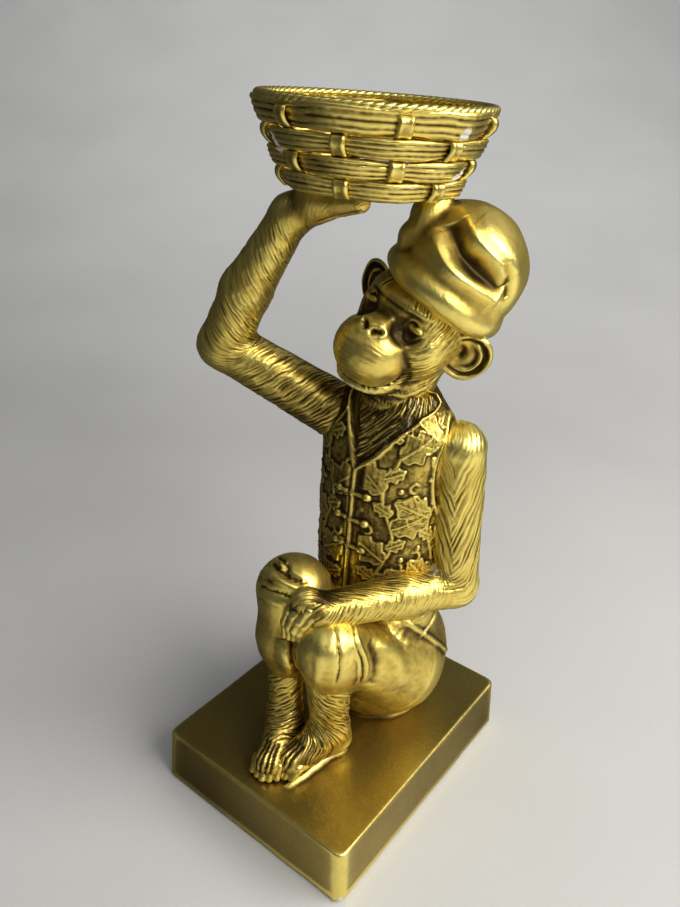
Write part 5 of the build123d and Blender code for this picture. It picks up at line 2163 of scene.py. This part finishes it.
@dataclass
class Studio:
    """The pale sheet, soft lamps, the room's light and the camera.

    Attributes:
        room, room_in_gold, room_behind: The room's light, as it shows in the gold, and to the camera.
    """

    camera: Point = (146.09, -203.72, 279.59)
    yaw: float = 36.8585
    pitch: float = 27.0894
    roll: float = 2.2626
    focal_pixels: float = 770.0
    image_height: float = 907.0
    sensor: float = 36.0
    sheet_width: float = 6000.0
    sheet_front: float = 1500.0
    sheet_depth: float = 420.0
    sheet_bend: float = 1700.0
    sheet_height: float = 2600.0
    room: Colour = (0.085, 0.087, 0.092)
    room_in_gold: Colour = (0.045, 0.045, 0.048)
    room_behind: Colour = (0.44, 0.44, 0.43)
    lamps: Sequence[Lamp] = (
        Lamp("window", (787, 130, 750), (1100, 600), 13.3, (1.0, 0.98, 0.94)),
        Lamp("screen", (345, -374, 1111), (600, 550), 0.9, (1.0, 0.98, 0.95)),
        Lamp("fill", (-200, -480, 1150), (650, 650), 0.55, (0.94, 0.97, 1.0)),
        Lamp("back", (200, 900, 1000), (800, 800), 0.8, (1.0, 0.99, 0.97)),
        Lamp("wash", (-350, 450, 1200), (900, 900), 8, (0.97, 0.98, 1.0), (-1200, 1600, 900)),
    )

    def sheet(self) -> None:
        """A floor that bends up into a backdrop: a profile of line, arc and line carried sideways."""
        arc = np.radians(np.linspace(0, 90, 24))
        far = self.sheet_depth + self.sheet_bend
        run = np.concatenate([[-self.sheet_front], self.sheet_depth + self.sheet_bend * np.sin(arc), [far]])
        rise = np.concatenate([[0], self.sheet_bend * (1 - np.cos(arc)), [self.sheet_height]])
        yaw = math.radians(self.yaw)
        away = np.array([-math.sin(yaw), math.cos(yaw), 0.0])
        side = np.array([math.cos(yaw), math.sin(yaw), 0.0])
        across = np.linspace(-self.sheet_width / 2, self.sheet_width / 2, 9)
        points = run[:, None, None] * away + across[None, :, None] * side + rise[:, None, None] * UP
        rows, columns = points.shape[:2]
        index = np.arange(rows * columns).reshape(rows, columns)
        faces = np.stack([index[:-1, :-1], index[:-1, 1:], index[1:, 1:], index[1:, :-1]], -1).reshape(-1, 4)
        mesh = bpy.data.meshes.new("pale_sheet")
        mesh.from_pydata((points * MM).reshape(-1, 3).tolist(), [], faces.tolist())
        mesh.shade_smooth()
        mesh.materials.append(PaleSheet().material())
        sheet = bpy.data.objects.new("pale_sheet", mesh)
        bpy.context.scene.collection.objects.link(sheet)

    def world(self) -> None:
        """Fill the room with an even light, darker in the gold and pale behind the sheet."""
        recipe = Recipe(bpy.data.worlds.new("studio"))
        mixed = recipe.mixed(recipe.looked_at(Look.MIRRORED), self.room, self.room_in_gold)
        mixed = recipe.mixed(recipe.looked_at(Look.STRAIGHT), mixed, self.room_behind)
        sockets = {"Color": mixed, "Strength": 1.0}
        bpy.context.scene.world = recipe.close("ShaderNodeBackground", "Background", sockets)

    def aim(self) -> None:
        """Set the camera from its place, yaw, downward pitch and roll."""
        yaw, pitch, roll = (math.radians(angle) for angle in (self.yaw, self.pitch, self.roll))
        flat = math.cos(pitch)
        forward = Vector((-math.sin(yaw) * flat, math.cos(yaw) * flat, -math.sin(pitch)))
        level = Vector((math.cos(yaw), math.sin(yaw), 0.0))
        above = level.cross(forward)
        right = level * math.cos(roll) + above * math.sin(roll)
        up = above * math.cos(roll) - level * math.sin(roll)
        data = bpy.data.cameras.new("camera")
        data.sensor_fit = "AUTO"
        data.sensor_width = self.sensor
        data.lens = self.sensor * self.focal_pixels / self.image_height
        data.clip_start = 0.01
        data.clip_end = 50.0
        camera = bpy.data.objects.new("camera", data)
        turn = Matrix((right, up, -forward)).transposed().to_4x4()
        camera.matrix_world = Matrix.Translation(Vector(self.camera) * MM) @ turn
        bpy.context.scene.collection.objects.link(camera)
        bpy.context.scene.camera = camera

    def build(self) -> None:
        """Set the sheet, the lamps, the room's light and the camera."""
        self.sheet()
        for lamp in self.lamps:
            lamp.build()
        self.world()
        self.aim()


@dataclass(frozen=True)
class HiddenPieces:
    """The felt pad, the pegs and the wire, which keep their CAD shapes."""

    felt_node: str = "felt_pad"

    def dress(self) -> None:
        """Give each CAD node that still shows its finish."""
        felt, steel = FELT.material(), STEEL.material()
        for name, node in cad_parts.items():
            if node.hide_render:
                continue
            finish = felt if name == self.felt_node else steel
            node.data.materials.clear()
            node.data.materials.append(finish)
            LOG.info("%s: CAD node in %s", name, finish.name)


def main() -> None:
    """Build every piece in order, dress it and set the studio."""
    logging.basicConfig(level=logging.INFO, format="%(name)s: %(message)s")
    bpy.context.scene.view_settings.view_transform = "Standard"
    resin = GoldPaint("resin_gold").material()
    block = GoldPaint(
        "plinth_gold", lit=(0.47, 0.36, 0.10), body=(0.32, 0.235, 0.06), blotch=0.14
    ).material()
    reed = GoldPaint(
        "basket_gold", lit=(0.84, 0.66, 0.17), body=(0.57, 0.42, 0.10), roughness=0.31
    ).material()
    trousers = Trousers()
    right = Leg("right_shin_casting", JOINTS.right_knee, JOINTS.right_ankle, (-2.6, -50.6), 60.0, 8.8, 6.8)
    left = Leg("left_shin_casting", JOINTS.left_knee, JOINTS.left_ankle, (3.9, -44.6), -48.0, 10.3, 7.4)
    standing = Form([*trousers.seat().solids, *right.form().solids, *left.form().solids], 1.0)
    Plinth().build(standing).dress(block, Slot.PLINTH, "plinth")
    castings = {
        "trousers": trousers,
        "right_shin": right,
        "left_shin": left,
        "waistcoat": Waistcoat(),
        "resting_arm": RestingArm(),
        "raised_arm": RaisedArm(),
        "head": Head(),
        "cap": Cap(),
    }
    for node, piece in castings.items():
        piece.build().dress(resin, Slot.RESIN, node)
    for casting in Basket().build():
        casting.dress(reed, Slot.BASKET, "basket")
    HiddenPieces().dress()
    Studio().build()


if __name__ == "__main__":
    main()
